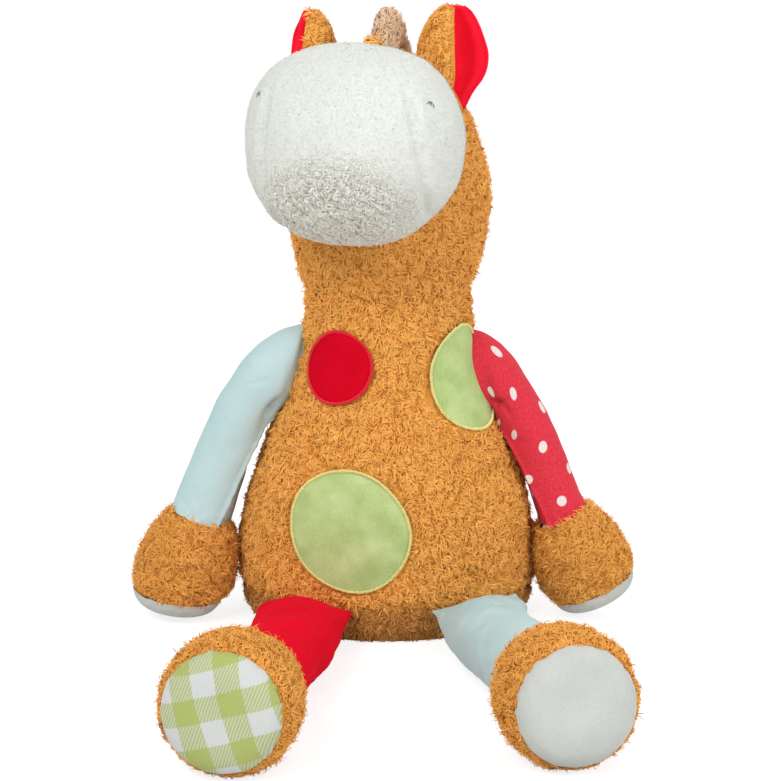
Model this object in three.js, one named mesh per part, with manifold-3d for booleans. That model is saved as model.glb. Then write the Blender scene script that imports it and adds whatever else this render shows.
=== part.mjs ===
// Sitting plush horse with floppy limbs: fur, velour and cotton covers over fibre stuffing.
// Millimetres, +Z up. The toy faces -Y, so its right side is at -X.
// The origin is on the floor, at the centre of the flat seat.

import * as THREE from 'three';
import { mergeVertices } from 'three/addons/utils/BufferGeometryUtils.js';
import Module from 'manifold-3d';

const wasm = await Module();
wasm.setup();

const radians = THREE.MathUtils.degToRad;
const xAxis = new THREE.Vector3(1, 0, 0);
const yAxis = new THREE.Vector3(0, 1, 0);
const zAxis = new THREE.Vector3(0, 0, 1);

// Gaps between pieces, fabric thicknesses and the length that cutting forms run past
const gap = 0.3;
const neckGap = 0.8;
const fillingGap = 0.7;
const furWall = 4;
const velourWall = 1.5;
const soleWall = 2.2;
const feltWall = 1.4;
const threadWall = 2.2;
const overrun = 60;

// Torso and neck
const torsoHalfWidth = 92;
const torsoHalfDepth = 69;
const neckSeamHeight = 208;
const neckHalfWidth = 50;
const neckHalfDepth = 45;
const neckPivotDrop = 33;
const seatSeamHeight = 21;

// Head
const headHalfWidth = 61;
const headHalfDepth = 50;
const headHeight = 145;
const faceTurn = radians(-14);

// Muzzle, the big round white face
const muzzleHalfWidth = 64;
const muzzleHalfHeight = 59;
const muzzleHalfDepth = 56;
const muzzleForward = 60;
const muzzleAside = -18;
const muzzleRiseShare = 0.655;
const muzzleFullness = 1.18;

// Embroidered eyes
const eyeStitchLength = 5;
const eyeStitchWidth = 1.8;
const eyeStitchWall = 1;
const eyeTurn = radians(60);
const eyeRise = radians(29);

// Ears
const rightEarHeight = 60;
const leftEarHeight = 64;
const rightEarRadius = 20.5;
const leftEarRadius = 22;
const rightEarAside = 48;
const leftEarAside = 43;
const rightEarBack = 10;
const leftEarBack = -2;
const earBaseShare = 0.731;
const earSlopeShare = 0.9517;
const earLean = 3;
const earWall = 3;
const liningWall = 1.2;
const earFrontSpan = radians(100);
const earBackSpan = radians(125);
const earRange = radians(15);

// Mane and tail
const maneHalfWidth = 10.5;
const maneHeight = 24;
const tailRootShare = 0.385;
const tailDrop = 62;
const tailReach = 20;
const tailRadius = 12.5;
const tailRootRadius = 1.5;

// Appliqué patches
const stitchWidth = 2.6;
const chestPatchRadius = 22.5;
const chestPatchShare = 0.808;
const chestPatchAside = -30.5;
const sidePatchRadius = 31;
const sidePatchShare = 0.758;
const sidePatchAside = 49.8;
const bellyPatchRadius = 38;
const bellyPatchShare = 0.3365;
const bellyPatchAside = -23.5;

// Arms and hands
const shoulderShare = 0.764;
const shoulderSink = 4.8;
const shoulderForward = 3;
const shoulderRootHalfHeight = 26.5;
const shoulderRootHalfDepth = 21;
const shoulderClearance = 4.2;
const shoulderTilt = radians(13);
const rightArmSpread = 62;
const leftArmSpread = 56;
const armDrop = 94;
const armForward = 9;
const armRadius = 18;
const handRadius = 30.5;
const handLength = 52;
const handSoleRadius = 27;
const handSoleRise = 10;

// Legs and feet
const hipHalfWidth = 32;
const hipPinch = 0.6;
const hipReach = 0.6;
const hipGap = 0.35;
const legHalfWidth = 26;
const legHalfHeight = 22;
const rightHipAside = 50;
const leftHipAside = 56;
const rightAnkleAside = 73.7;
const leftAnkleAside = 86.2;
const rightAnkleForward = 212.5;
const leftAnkleForward = 204;
const ankleHeight = 31.5;
const footTilt = radians(5.5);
const footRadius = 38;
const footLength = 66;
const footSoleRadius = 33;
const footSoleRise = 11;

// Facets round each form
const trunkSides = 24;
const muzzleSides = 18;
const muzzleRings = 8;
const limbSides = 12;
const maneSides = 8;
const patchSides = 24;
const neckSides = 28;
const earArcSteps = 7;

// Colours
const ochre = 0xd58e42;
const darkOchre = 0x9b6837;
const cream = 0xe6e8e2;
const beige = 0xcda580;
const scarlet = 0xdc1430;
const paleBlue = 0xc2d8d8;
const dottedRed = 0xcf3146;
const leafGreen = 0xb3c684;
const limeThread = 0xd2dc6e;
const redThread = 0xc8102e;
const greenCheck = 0xc4d084;
const offWhite = 0xd6d9d6;
const charcoal = 0x4a4a4c;
const fibreWhite = 0xf2f2ee;

// Each arm, from the shoulder to the cuff: spread, drop, the chord's and the depth's share of the arm's radius
const rightArmShares = [
  [0.26, 0.03, 1.46, 1.11],
  [0.45, 0.135, 1.27, 1.05],
  [0.604, 0.31, 1.094, 1],
  [0.745, 0.52, 1, 0.965],
  [0.89, 0.77, 0.985, 0.98],
  [1, 1, 1.105, 1.083],
];
const rightArmTurns = [-3, 13, 30, 50, 68, 70].map(radians);
const leftArmShares = [
  [0.24, 0.03, 1.39, 1.1],
  [0.4, 0.135, 1.25, 1.03],
  [0.555, 0.31, 1.01, 0.97],
  [0.715, 0.52, 0.83, 0.93],
  [0.85, 0.745, 0.79, 0.92],
  [1, 1, 0.9, 0.98],
];
const leftArmTurns = [-3, 11, 28, 50, 65, 66].map(radians);

// The limbs lie a little unevenly, so each side has its own places
const sides = [
  {
    name: 'right',
    hand: -1,
    armSpread: rightArmSpread,
    armShares: rightArmShares,
    armTurns: rightArmTurns,
    handLean: radians(18.5),
    handBend: radians(-10),
    sleeveColour: paleBlue,
    hipAside: rightHipAside,
    ankleAside: rightAnkleAside,
    ankleForward: rightAnkleForward,
    footTurn: radians(11),
    legColour: scarlet,
    footSoleColour: greenCheck,
    earHeight: rightEarHeight,
    earRadius: rightEarRadius,
    earAside: rightEarAside,
    earBack: rightEarBack,
    earOpening: radians(180),
  },
  {
    name: 'left',
    hand: 1,
    armSpread: leftArmSpread,
    armShares: leftArmShares,
    armTurns: leftArmTurns,
    handLean: radians(24),
    handBend: 0,
    sleeveColour: dottedRed,
    hipAside: leftHipAside,
    ankleAside: leftAnkleAside,
    ankleForward: leftAnkleForward,
    footTurn: radians(12),
    legColour: paleBlue,
    footSoleColour: offWhite,
    earHeight: leftEarHeight,
    earRadius: leftEarRadius,
    earAside: leftEarAside,
    earBack: leftEarBack,
    earOpening: radians(-15),
  },
];

// Outlines of the soft forms, as shares of the sizes above.
// Torso, from the seat up: height, half width, half depth
const torsoShares = [
  [0, 0.9, 0.915],
  [0.03, 0.95, 0.955],
  [0.1, 0.993, 0.985],
  [0.22, 1, 1],
  [0.37, 0.945, 0.982],
  [0.52, 0.828, 0.895],
  [0.68, 0.675, 0.768],
  [0.84, 0.577, 0.692],
];
// Head, from the neck seam up: height, half width, half depth
const headShares = [
  [0.14, 0.905, 0.945],
  [0.386, 1, 1],
  [0.566, 0.942, 0.98],
  [0.752, 0.775, 0.86],
  [0.876, 0.575, 0.67],
  [0.965, 0.31, 0.38],
  [0.995, 0.1, 0.12],
];
// Leg, from behind the hip to the ankle: forward, aside, rise, width, height, turn towards the hip seam
const legShares = [
  [0.08, 0.02, 0.035, 1.15, 0.39, 0.5],
  [0.23, 0.09, 0.075, 1.07, 0.82, 0.27],
  [0.425, 0.23, 0.14, 1.02, 0.955, 0],
  [0.645, 0.5, 0.345, 0.977, 0.977, 0],
  [0.84, 0.76, 0.69, 0.915, 1, 0],
  [1, 1, 1, 0.8, 0.955, 0],
];
// Hoof of a hand or foot: length and radius
const hoofShares = [
  [0, 0.62],
  [0.16, 0.79],
  [0.45, 0.96],
  [0.8, 1],
  [1, 0.9],
];
// Sole, from the tip of its dome to its rim: share of a quarter turn
const soleShares = [0.8, 0.45, 0];
// Where a leg's filling starts between its first two ribs
const hipFillingShare = 0.06;
// Ear, from the base up: height and radius
const earShares = [
  [0, 0.42],
  [0.2, 0.78],
  [0.42, 1],
  [0.62, 0.95],
  [0.8, 0.7],
  [0.92, 0.44],
  [1, 0.22],
];
const liningRingShares = [0.06, 0.2, 0.42, 0.62, 0.8, 0.9];
// How far the lining's edge stays back along the fur's outermost facets
const liningEdgeShare = 0.3;
// Mane, from the forehead over the crown and down the nape: forward, rise, height, width
const maneShares = [
  [0.45, 0.945, 0.5, 0.75],
  [0.2, 0.985, 0.95, 1],
  [-0.15, 0.99, 1, 1],
  [-0.5, 0.93, 0.72, 0.95],
  [-0.85, 0.77, 0.5, 0.85],
  [-0.99, 0.5, 0.44, 0.78],
  [-0.97, 0.22, 0.36, 0.7],
  [-0.94, 0.11, 0.2, 0.5],
];
// Tail, from its root down: reach, drop, radius
const tailShares = [
  [0.42, 0.07, 0.45],
  [0.8, 0.29, 0.85],
  [1, 0.58, 1],
  [1.05, 0.85, 0.8],
  [0.98, 1, 0.28],
];

// Geometry helpers

function cloth(colour, roughness = 0.95) {
  return new THREE.MeshStandardMaterial({ color: colour, roughness, metalness: 0 });
}

function centroid(points) {
  return points.reduce((sum, p) => sum.add(p), new THREE.Vector3()).divideScalar(points.length);
}

function closedGeometry(points, faces) {
  let volume = 0;
  for (const [a, b, c] of faces) {
    volume += points[a].dot(points[b].clone().cross(points[c]));
  }
  const outward = volume > 0 ? faces : faces.map(([a, b, c]) => [a, c, b]);
  const geometry = new THREE.BufferGeometry().setFromPoints(points);
  geometry.setIndex(outward.flat());
  return geometry;
}

// A band of facets between two rings; an inward band has the same diagonals and faces the other way
function bridge(faces, from, to, count, inward = false) {
  for (let i = 0; i < count; i += 1) {
    const j = (i + 1) % count;
    if (inward) {
      faces.push([from + j, from + i, to + j], [to + j, from + i, to + i]);
    } else {
      faces.push([from + i, from + j, to + j], [from + i, to + j, to + i]);
    }
  }
}

// A form through rings of equal count, closed by a fan at each end
function loft(rings) {
  const count = rings[0].length;
  const points = rings.flat();
  const faces = [];
  for (let k = 1; k < rings.length; k += 1) {
    bridge(faces, (k - 1) * count, k * count, count);
  }
  const last = (rings.length - 1) * count;
  const start = points.push(centroid(rings[0])) - 1;
  const end = points.push(centroid(rings.at(-1))) - 1;
  for (let i = 0; i < count; i += 1) {
    const j = (i + 1) % count;
    faces.push([start, j, i], [end, last + i, last + j]);
  }
  return closedGeometry(points, faces);
}

// A cover between outer and inner rings, open at its far end and, unless closed, at its near end
function cover(outer, inner, closedNear = false) {
  const count = outer[0].length;
  const points = [...outer.flat(), ...inner.flat()];
  const faces = [];
  const innerStart = outer.length * count;
  const outerEnd = innerStart - count;
  const innerEnd = points.length - count;
  for (let k = 1; k < outer.length; k += 1) {
    bridge(faces, (k - 1) * count, k * count, count);
  }
  for (let k = 1; k < inner.length; k += 1) {
    bridge(faces, innerStart + (k - 1) * count, innerStart + k * count, count, true);
  }
  bridge(faces, outerEnd, innerEnd, count);
  if (!closedNear) {
    bridge(faces, innerStart, 0, count);
    return closedGeometry(points, faces);
  }
  const outerTip = points.push(centroid(outer[0])) - 1;
  const innerTip = points.push(centroid(inner[0])) - 1;
  for (let i = 0; i < count; i += 1) {
    const j = (i + 1) % count;
    faces.push([outerTip, j, i], [innerTip, innerStart + i, innerStart + j]);
  }
  return closedGeometry(points, faces);
}

// An open trough of fabric, through cross-sections that each hold an outer and an inner arc
function trough(arcPairs) {
  const steps = arcPairs[0].outer.length;
  const count = 2 * steps;
  const points = arcPairs.flatMap(({ outer, inner }) => [...outer, ...[...inner].reverse()]);
  const faces = [];
  for (let k = 1; k < arcPairs.length; k += 1) {
    bridge(faces, (k - 1) * count, k * count, count);
  }
  const last = (arcPairs.length - 1) * count;
  for (let i = 0; i < steps - 1; i += 1) {
    const j = count - 1 - i;
    faces.push([i + 1, i, j], [i + 1, j, j - 1]);
    faces.push([last + i, last + i + 1, last + j], [last + i + 1, last + j - 1, last + j]);
  }
  return closedGeometry(points, faces);
}

function solid(geometry) {
  const bare = geometry.clone();
  bare.deleteAttribute('normal');
  bare.deleteAttribute('uv');
  const merged = mergeVertices(bare);
  const vertProperties = new Float32Array(merged.attributes.position.array);
  const triVerts = new Uint32Array(merged.index.array);
  return new wasm.Manifold(new wasm.Mesh({ numProp: 3, vertProperties, triVerts }));
}

function shape(manifold) {
  const { vertProperties, triVerts } = manifold.getMesh();
  const geometry = new THREE.BufferGeometry();
  geometry.setAttribute('position', new THREE.BufferAttribute(new Float32Array(vertProperties), 3));
  geometry.setIndex(new THREE.BufferAttribute(new Uint32Array(triVerts), 1));
  return geometry;
}

// An elliptical ring round a rib, drawn in by the inset; a fullness over 1 rounds out its corners
function ribRing({ centre, across, along }, inset, count, fullness = 1) {
  const a = across.clone().setLength(across.length() - inset);
  const b = along.clone().setLength(along.length() - inset);
  const ring = [];
  for (let i = 0; i < count; i += 1) {
    const angle = (2 * Math.PI * i) / count;
    const [u, v] = [Math.cos(angle), Math.sin(angle)].map((x) => Math.sign(x) * Math.abs(x) ** (1 / fullness));
    ring.push(centre.clone().addScaledVector(a, u).addScaledVector(b, v));
  }
  return ring;
}

function ribRings(ribs, inset, count, fullness) {
  return ribs.map((rib) => ribRing(rib, inset, count, fullness));
}

function betweenRibs(from, to, share) {
  return {
    centre: from.centre.clone().lerp(to.centre, share),
    across: from.across.clone().lerp(to.across, share),
    along: from.along.clone().lerp(to.along, share),
  };
}

// A straight cutting form from a point outwards along a direction
function rod(base, direction, radius, length, count = patchSides) {
  const geometry = new THREE.CylinderGeometry(radius, radius, length, count);
  geometry.translate(0, length / 2, 0);
  geometry.applyQuaternion(new THREE.Quaternion().setFromUnitVectors(yAxis, direction));
  geometry.translate(base.x, base.y, base.z);
  return solid(geometry);
}

function block(low, high) {
  const size = high.clone().sub(low);
  const middle = low.clone().add(high).divideScalar(2);
  const geometry = new THREE.BoxGeometry(size.x, size.y, size.z);
  geometry.translate(middle.x, middle.y, middle.z);
  return solid(geometry);
}

function turned(geometry, pivot, axis, angle) {
  const copy = geometry.clone();
  copy.translate(-pivot.x, -pivot.y, -pivot.z);
  copy.applyQuaternion(new THREE.Quaternion().setFromAxisAngle(axis, angle));
  copy.translate(pivot.x, pivot.y, pivot.z);
  return copy;
}

// The trunk: torso, neck and head as one soft column that the neck seam divides

const crownHeight = neckSeamHeight + headHeight;
const shoulderHeight = shoulderShare * neckSeamHeight;
const tailRootHeight = tailRootShare * neckSeamHeight;
const trunkSections = [
  ...torsoShares.map(([height, width, depth]) => ({
    z: height * neckSeamHeight,
    halfWidth: width * torsoHalfWidth,
    halfDepth: depth * torsoHalfDepth,
  })),
  { z: neckSeamHeight, halfWidth: neckHalfWidth, halfDepth: neckHalfDepth },
  ...headShares.map(([height, width, depth]) => ({
    z: neckSeamHeight + height * headHeight,
    halfWidth: width * headHalfWidth,
    halfDepth: depth * headHalfDepth,
  })),
];

function trunkSection(z) {
  const above = trunkSections.findIndex((section) => section.z > z);
  const upper = trunkSections[above];
  const lower = trunkSections[above - 1];
  const share = (z - lower.z) / (upper.z - lower.z);
  return {
    halfWidth: THREE.MathUtils.lerp(lower.halfWidth, upper.halfWidth, share),
    halfDepth: THREE.MathUtils.lerp(lower.halfDepth, upper.halfDepth, share),
    widening: (upper.halfWidth - lower.halfWidth) / (upper.z - lower.z),
    deepening: (upper.halfDepth - lower.halfDepth) / (upper.z - lower.z),
  };
}

function trunkGeometry(inset) {
  const squeeze = (crownHeight - 2 * inset) / crownHeight;
  const ribs = trunkSections.map(({ z, halfWidth, halfDepth }) => ({
    centre: new THREE.Vector3(0, 0, inset + z * squeeze),
    across: xAxis.clone().multiplyScalar(halfWidth),
    along: yAxis.clone().multiplyScalar(halfDepth),
  }));
  return loft(ribRings(ribs, inset, trunkSides));
}

// The point of the trunk's front at a height and a distance aside, and its outward normal
function trunkFront(aside, height) {
  const { halfWidth, halfDepth, widening, deepening } = trunkSection(height);
  const y = -halfDepth * Math.sqrt(1 - (aside / halfWidth) ** 2);
  const rise = -(aside ** 2) * widening / halfWidth ** 3 - (y ** 2) * deepening / halfDepth ** 3;
  return {
    point: new THREE.Vector3(aside, y, height),
    normal: new THREE.Vector3(aside / halfWidth ** 2, y / halfDepth ** 2, rise).normalize(),
  };
}

// How far the faceted trunk reaches along a level direction at a height
function trunkReach(direction, height) {
  const { halfWidth, halfDepth } = trunkSection(height);
  const centre = new THREE.Vector3(0, 0, height);
  const across = xAxis.clone().multiplyScalar(halfWidth);
  const along = yAxis.clone().multiplyScalar(halfDepth);
  const ring = ribRing({ centre, across, along }, 0, trunkSides);
  return Math.max(...ring.map((point) => point.dot(direction)));
}

const trunkForms = new Map();

function trunkForm(inset) {
  if (!trunkForms.has(inset)) {
    trunkForms.set(inset, solid(trunkGeometry(inset)));
  }
  return trunkForms.get(inset);
}

// The neck turns on a dome: the torso ends in it, and the head has the matching cup
const neckPivot = new THREE.Vector3(0, 0, neckSeamHeight - neckPivotDrop);
const domeRadius = Math.hypot(neckPivotDrop, neckHalfDepth);

function dome(radius) {
  const geometry = new THREE.SphereGeometry(radius, neckSides, neckSides / 2);
  geometry.rotateX(Math.PI / 2);
  geometry.translate(neckPivot.x, neckPivot.y, neckPivot.z);
  return solid(geometry);
}

function slab(lowZ, highZ) {
  const reach = crownHeight;
  return block(new THREE.Vector3(-reach, -reach, lowZ), new THREE.Vector3(reach, reach, highZ));
}

const belowNeck = slab(-overrun, neckPivot.z + neckPivotDrop / 2);

// Shoulders: flat round seats in the torso's sides, on which the arms turn
function shoulderOf({ hand }) {
  const { halfWidth } = trunkSection(shoulderHeight);
  return {
    point: new THREE.Vector3(hand * (halfWidth - shoulderSink), -shoulderForward, shoulderHeight),
    outward: new THREE.Vector3(hand * Math.cos(shoulderTilt), 0, Math.sin(shoulderTilt)),
    upward: new THREE.Vector3(-hand * Math.sin(shoulderTilt), 0, Math.cos(shoulderTilt)),
  };
}

function shoulderSeat(side, inset) {
  const { point, outward } = shoulderOf(side);
  const base = point.clone().addScaledVector(outward, -inset);
  return rod(base, outward, shoulderRootHalfHeight + shoulderClearance + inset, overrun);
}

function withoutSeats(form, inset) {
  return sides.reduce((left, side) => left.subtract(shoulderSeat(side, inset)), form);
}

function torsoForm(inset) {
  const trunk = trunkForm(inset).intersect(dome(domeRadius).add(belowNeck));
  return withoutSeats(trunk, inset);
}

function headForm(inset) {
  return trunkForm(inset).subtract(dome(domeRadius + neckGap)).subtract(belowNeck);
}

// Muzzle frame and form
const muzzleCentre = new THREE.Vector3(muzzleAside, -muzzleForward, neckSeamHeight + muzzleRiseShare * headHeight);
const faceForward = new THREE.Vector3(0, -1, 0).applyAxisAngle(zAxis, faceTurn);
const faceAcross = xAxis.clone().applyAxisAngle(zAxis, faceTurn);

function muzzleForm(inset) {
  const ribs = [];
  for (let k = 1; k <= muzzleRings; k += 1) {
    const angle = -Math.PI / 2 + (Math.PI * k) / (muzzleRings + 1);
    ribs.push({
      centre: muzzleCentre.clone().addScaledVector(faceForward, (muzzleHalfDepth - inset) * Math.sin(angle)),
      across: faceAcross.clone().multiplyScalar((muzzleHalfWidth - inset) * Math.cos(angle)),
      along: zAxis.clone().multiplyScalar((muzzleHalfHeight - inset) * Math.cos(angle)),
    });
  }
  return solid(loft(ribRings(ribs, 0, muzzleSides, muzzleFullness)));
}

// A layer of fabric that lies on a form inside a cutting outline
function layerOn(form, outline, wall) {
  return outline.intersect(form(-gap - wall).subtract(form(-gap)));
}

function part(name, geometry, colour) {
  const mesh = new THREE.Mesh(geometry, cloth(colour));
  mesh.name = name;
  return mesh;
}

// A group that turns about a pivot: its meshes are drawn in the toy's frame and moved into the group's
function assembly(name, pivot, axis, meshes) {
  const group = new THREE.Group();
  group.name = name;
  group.position.copy(pivot);
  group.userData.axis = axis;
  for (const mesh of meshes) {
    mesh.geometry.translate(-pivot.x, -pivot.y, -pivot.z);
    group.add(mesh);
  }
  return group;
}

// Torso pieces

function torsoPieces() {
  const skin = torsoForm(0).subtract(withoutSeats(trunkForm(furWall), furWall));
  return [
    part('torso_fur', shape(skin.intersect(slab(seatSeamHeight + gap / 2, crownHeight))), ochre),
    part('seat_panel', shape(skin.intersect(slab(-overrun, seatSeamHeight - gap / 2))), darkOchre),
    part('torso_stuffing', shape(torsoForm(furWall + gap)), fibreWhite),
  ];
}

function patchPieces(name, aside, heightShare, radius, colour, threadColour) {
  const { point, normal } = trunkFront(aside, heightShare * neckSeamHeight);
  const base = point.clone().addScaledVector(normal, -radius);
  const outline = (size) => rod(base, normal, size, radius + overrun);
  const inner = radius - stitchWidth;
  const clearOfSeats = (form) => withoutSeats(form, gap);
  const felt = layerOn(trunkForm, outline(inner - gap), feltWall);
  const stitches = layerOn(trunkForm, outline(radius).subtract(outline(inner)), threadWall);
  return [
    part(name, shape(clearOfSeats(felt)), colour),
    part(`${name}_border`, shape(clearOfSeats(stitches)), threadColour),
  ];
}

// Head pieces

function headPieces() {
  const cavity = trunkForm(furWall).add(muzzleForm(furWall));
  const filling = headForm(furWall + gap).add(muzzleForm(furWall + gap));
  const muzzle = muzzleForm(0).subtract(muzzleForm(furWall)).subtract(trunkForm(-gap));
  return [
    part('head_fur', shape(headForm(0).subtract(cavity)), ochre),
    part('muzzle_fur', shape(muzzle), cream),
    part('head_stuffing', shape(filling), fibreWhite),
  ];
}

// Each eye is a small embroidered chevron, point up
function eyeStitch({ name, hand }) {
  const direction = new THREE.Vector3(
    muzzleHalfWidth * Math.cos(eyeRise) * Math.sin(hand * eyeTurn),
    muzzleHalfDepth * Math.cos(eyeRise) * Math.cos(eyeTurn),
    muzzleHalfHeight * Math.sin(eyeRise),
  );
  const point = muzzleCentre.clone()
    .addScaledVector(faceAcross, direction.x)
    .addScaledVector(faceForward, direction.y)
    .addScaledVector(zAxis, direction.z);
  const outward = point.clone().sub(muzzleCentre).normalize();
  const half = eyeStitchLength / 2;
  const outline = new THREE.Shape([
    new THREE.Vector2(-half, -half),
    new THREE.Vector2(-half + eyeStitchWidth, -half),
    new THREE.Vector2(0, half - eyeStitchWidth),
    new THREE.Vector2(half - eyeStitchWidth, -half),
    new THREE.Vector2(half, -half),
    new THREE.Vector2(0, half + eyeStitchWidth),
  ]);
  const depth = eyeStitchLength + overrun;
  const geometry = new THREE.ExtrudeGeometry(outline, { depth, bevelEnabled: false });
  const level = zAxis.clone().cross(outward).normalize();
  const upright = outward.clone().cross(level);
  geometry.applyMatrix4(new THREE.Matrix4().makeBasis(level, upright, outward));
  const base = point.clone().addScaledVector(outward, -eyeStitchLength);
  geometry.translate(base.x, base.y, base.z);
  return part(`${name}_eye_stitch`, shape(layerOn(muzzleForm, solid(geometry), eyeStitchWall)), charcoal);
}

function mane() {
  const spine = maneShares.map(([forward, rise]) => (
    faceForward.clone().multiplyScalar(forward * headHalfDepth)
      .addScaledVector(zAxis, neckSeamHeight + rise * headHeight)
  ));
  const ribs = maneShares.map(([, , height, width], k) => {
    const before = spine[Math.max(k - 1, 0)];
    const after = spine[Math.min(k + 1, spine.length - 1)];
    const outward = after.clone().sub(before).cross(faceAcross).normalize();
    return {
      centre: spine[k],
      across: faceAcross.clone().multiplyScalar(width * maneHalfWidth),
      along: outward.multiplyScalar(height * maneHeight),
    };
  });
  const strip = solid(loft(ribRings(ribs, 0, maneSides)));
  return part('mane', shape(strip.subtract(trunkForm(-gap)).subtract(muzzleForm(-gap))), beige);
}

// Ears: a fur trough with a velour lining, cut to sit on the head through its whole flop

function earPivot({ hand, earAside, earBack }) {
  const upper = neckSeamHeight + earSlopeShare * headHeight;
  const lower = neckSeamHeight + earBaseShare * headHeight;
  const high = new THREE.Vector3(hand * trunkSection(upper).halfWidth, earBack, upper);
  const low = new THREE.Vector3(hand * trunkSection(lower).halfWidth, earBack, lower);
  return {
    pivot: high.clone().add(low).divideScalar(2),
    axis: low.clone().sub(high).normalize(),
    foot: new THREE.Vector3(hand * earAside, earBack, lower),
  };
}

function earRadiusAt({ earRadius }, share) {
  const above = Math.max(earShares.findIndex(([height]) => height >= share), 1);
  const [lowHeight, lowRadius] = earShares[above - 1];
  const [highHeight, highRadius] = earShares[above];
  return earRadius * THREE.MathUtils.mapLinear(share, lowHeight, highHeight, lowRadius, highRadius);
}

function earArc(side, centre, radius, edgeShare) {
  const points = [];
  for (let i = 0; i <= earArcSteps; i += 1) {
    const swing = THREE.MathUtils.lerp(-earBackSpan, earFrontSpan, i / earArcSteps);
    const angle = side.earOpening + Math.PI + side.hand * swing;
    points.push(centre.clone().add(new THREE.Vector3(radius * Math.cos(angle), radius * Math.sin(angle), 0)));
  }
  points[0].lerp(points[1], edgeShare);
  points.at(-1).lerp(points.at(-2), edgeShare);
  return points;
}

function earLayer(side, shares, inset, wall, edgeShare) {
  const { foot } = earPivot(side);
  return solid(trough(shares.map((share) => {
    const centre = foot.clone()
      .addScaledVector(zAxis, share * side.earHeight)
      .addScaledVector(xAxis, -side.hand * share * earLean);
    const radius = earRadiusAt(side, share) - inset;
    return {
      outer: earArc(side, centre, radius, edgeShare),
      inner: earArc(side, centre, radius - wall, edgeShare),
    };
  })));
}

function ear(side) {
  const { pivot, axis } = earPivot(side);
  const keptOff = trunkGeometry(-gap);
  const face = shape(muzzleForm(-gap));
  const seated = (form) => [-earRange, 0, earRange].reduce((left, angle) => (
    left
      .subtract(solid(turned(keptOff, pivot, axis, angle)))
      .subtract(solid(turned(face, pivot, axis, angle)))
  ), form);
  const fur = earLayer(side, earShares.map(([height]) => height), 0, earWall, 0);
  const lining = earLayer(side, liningRingShares, earWall + gap, liningWall, liningEdgeShare);
  return assembly(`${side.name}_ear`, pivot, axis, [
    part(`${side.name}_ear_fur`, shape(seated(fur)), ochre),
    part(`${side.name}_ear_lining`, shape(seated(lining)), scarlet),
  ]);
}

// Hoof ends of the arms and legs, drawn from the cuff along the limb

function hoofRibs({ cuff, direction, across, along, length, radius, bend }) {
  return hoofShares.map(([lengthShare, radiusShare]) => ({
    centre: cuff.clone().addScaledVector(direction, gap + lengthShare * length),
    across: across.clone().applyAxisAngle(along, lengthShare * bend).multiplyScalar(radiusShare * radius),
    along: along.clone().multiplyScalar(radiusShare * radius),
  }));
}

// The padded sole's dome from its tip to its rim, drawn in by the inset
function soleRibs({ cuff, direction, across, along, length, soleRadius, soleRise, bend }, inset) {
  const level = across.clone().applyAxisAngle(along, bend);
  const outward = direction.clone().applyAxisAngle(along, bend);
  const rim = cuff.clone().addScaledVector(direction, gap + length).addScaledVector(outward, gap);
  return soleShares.map((share) => {
    const angle = (Math.PI / 2) * share;
    const size = (soleRadius - inset) * Math.cos(angle);
    const rise = (soleRise - inset) * Math.sin(angle);
    return {
      centre: rim.clone().addScaledVector(outward, rise),
      across: level.clone().multiplyScalar(size),
      along: along.clone().multiplyScalar(size),
    };
  });
}

function hoofAt(cuff, direction, across, length, radius, soleRadius, soleRise, bend = 0) {
  const along = direction.clone().cross(across).normalize();
  return { cuff, direction, across, along, length, radius, soleRadius, soleRise, bend };
}

// A limb's last rib, turned square to its hoof
function squareTo({ across, along }, rib) {
  return {
    centre: rib.centre,
    across: across.clone().setLength(rib.across.length()),
    along: along.clone().setLength(rib.along.length()),
  };
}

function hoofFur(hoof) {
  const ribs = hoofRibs(hoof);
  return cover(ribRings(ribs, 0, limbSides), ribRings(ribs, furWall, limbSides));
}

function hoofSole(hoof) {
  const outer = ribRings(soleRibs(hoof, 0), 0, limbSides);
  return cover(outer, ribRings(soleRibs(hoof, soleWall), 0, limbSides), true);
}

// Fibre filling of a limb: through the sleeve, the hoof and up to the sole
function limbFilling(sleeveRibs, hoof) {
  return loft([
    ...ribRings(sleeveRibs, velourWall + fillingGap, limbSides),
    ...ribRings(hoofRibs(hoof), furWall + fillingGap, limbSides),
    ...ribRings(soleRibs(hoof, soleWall + fillingGap), 0, limbSides).reverse(),
  ]);
}

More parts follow.
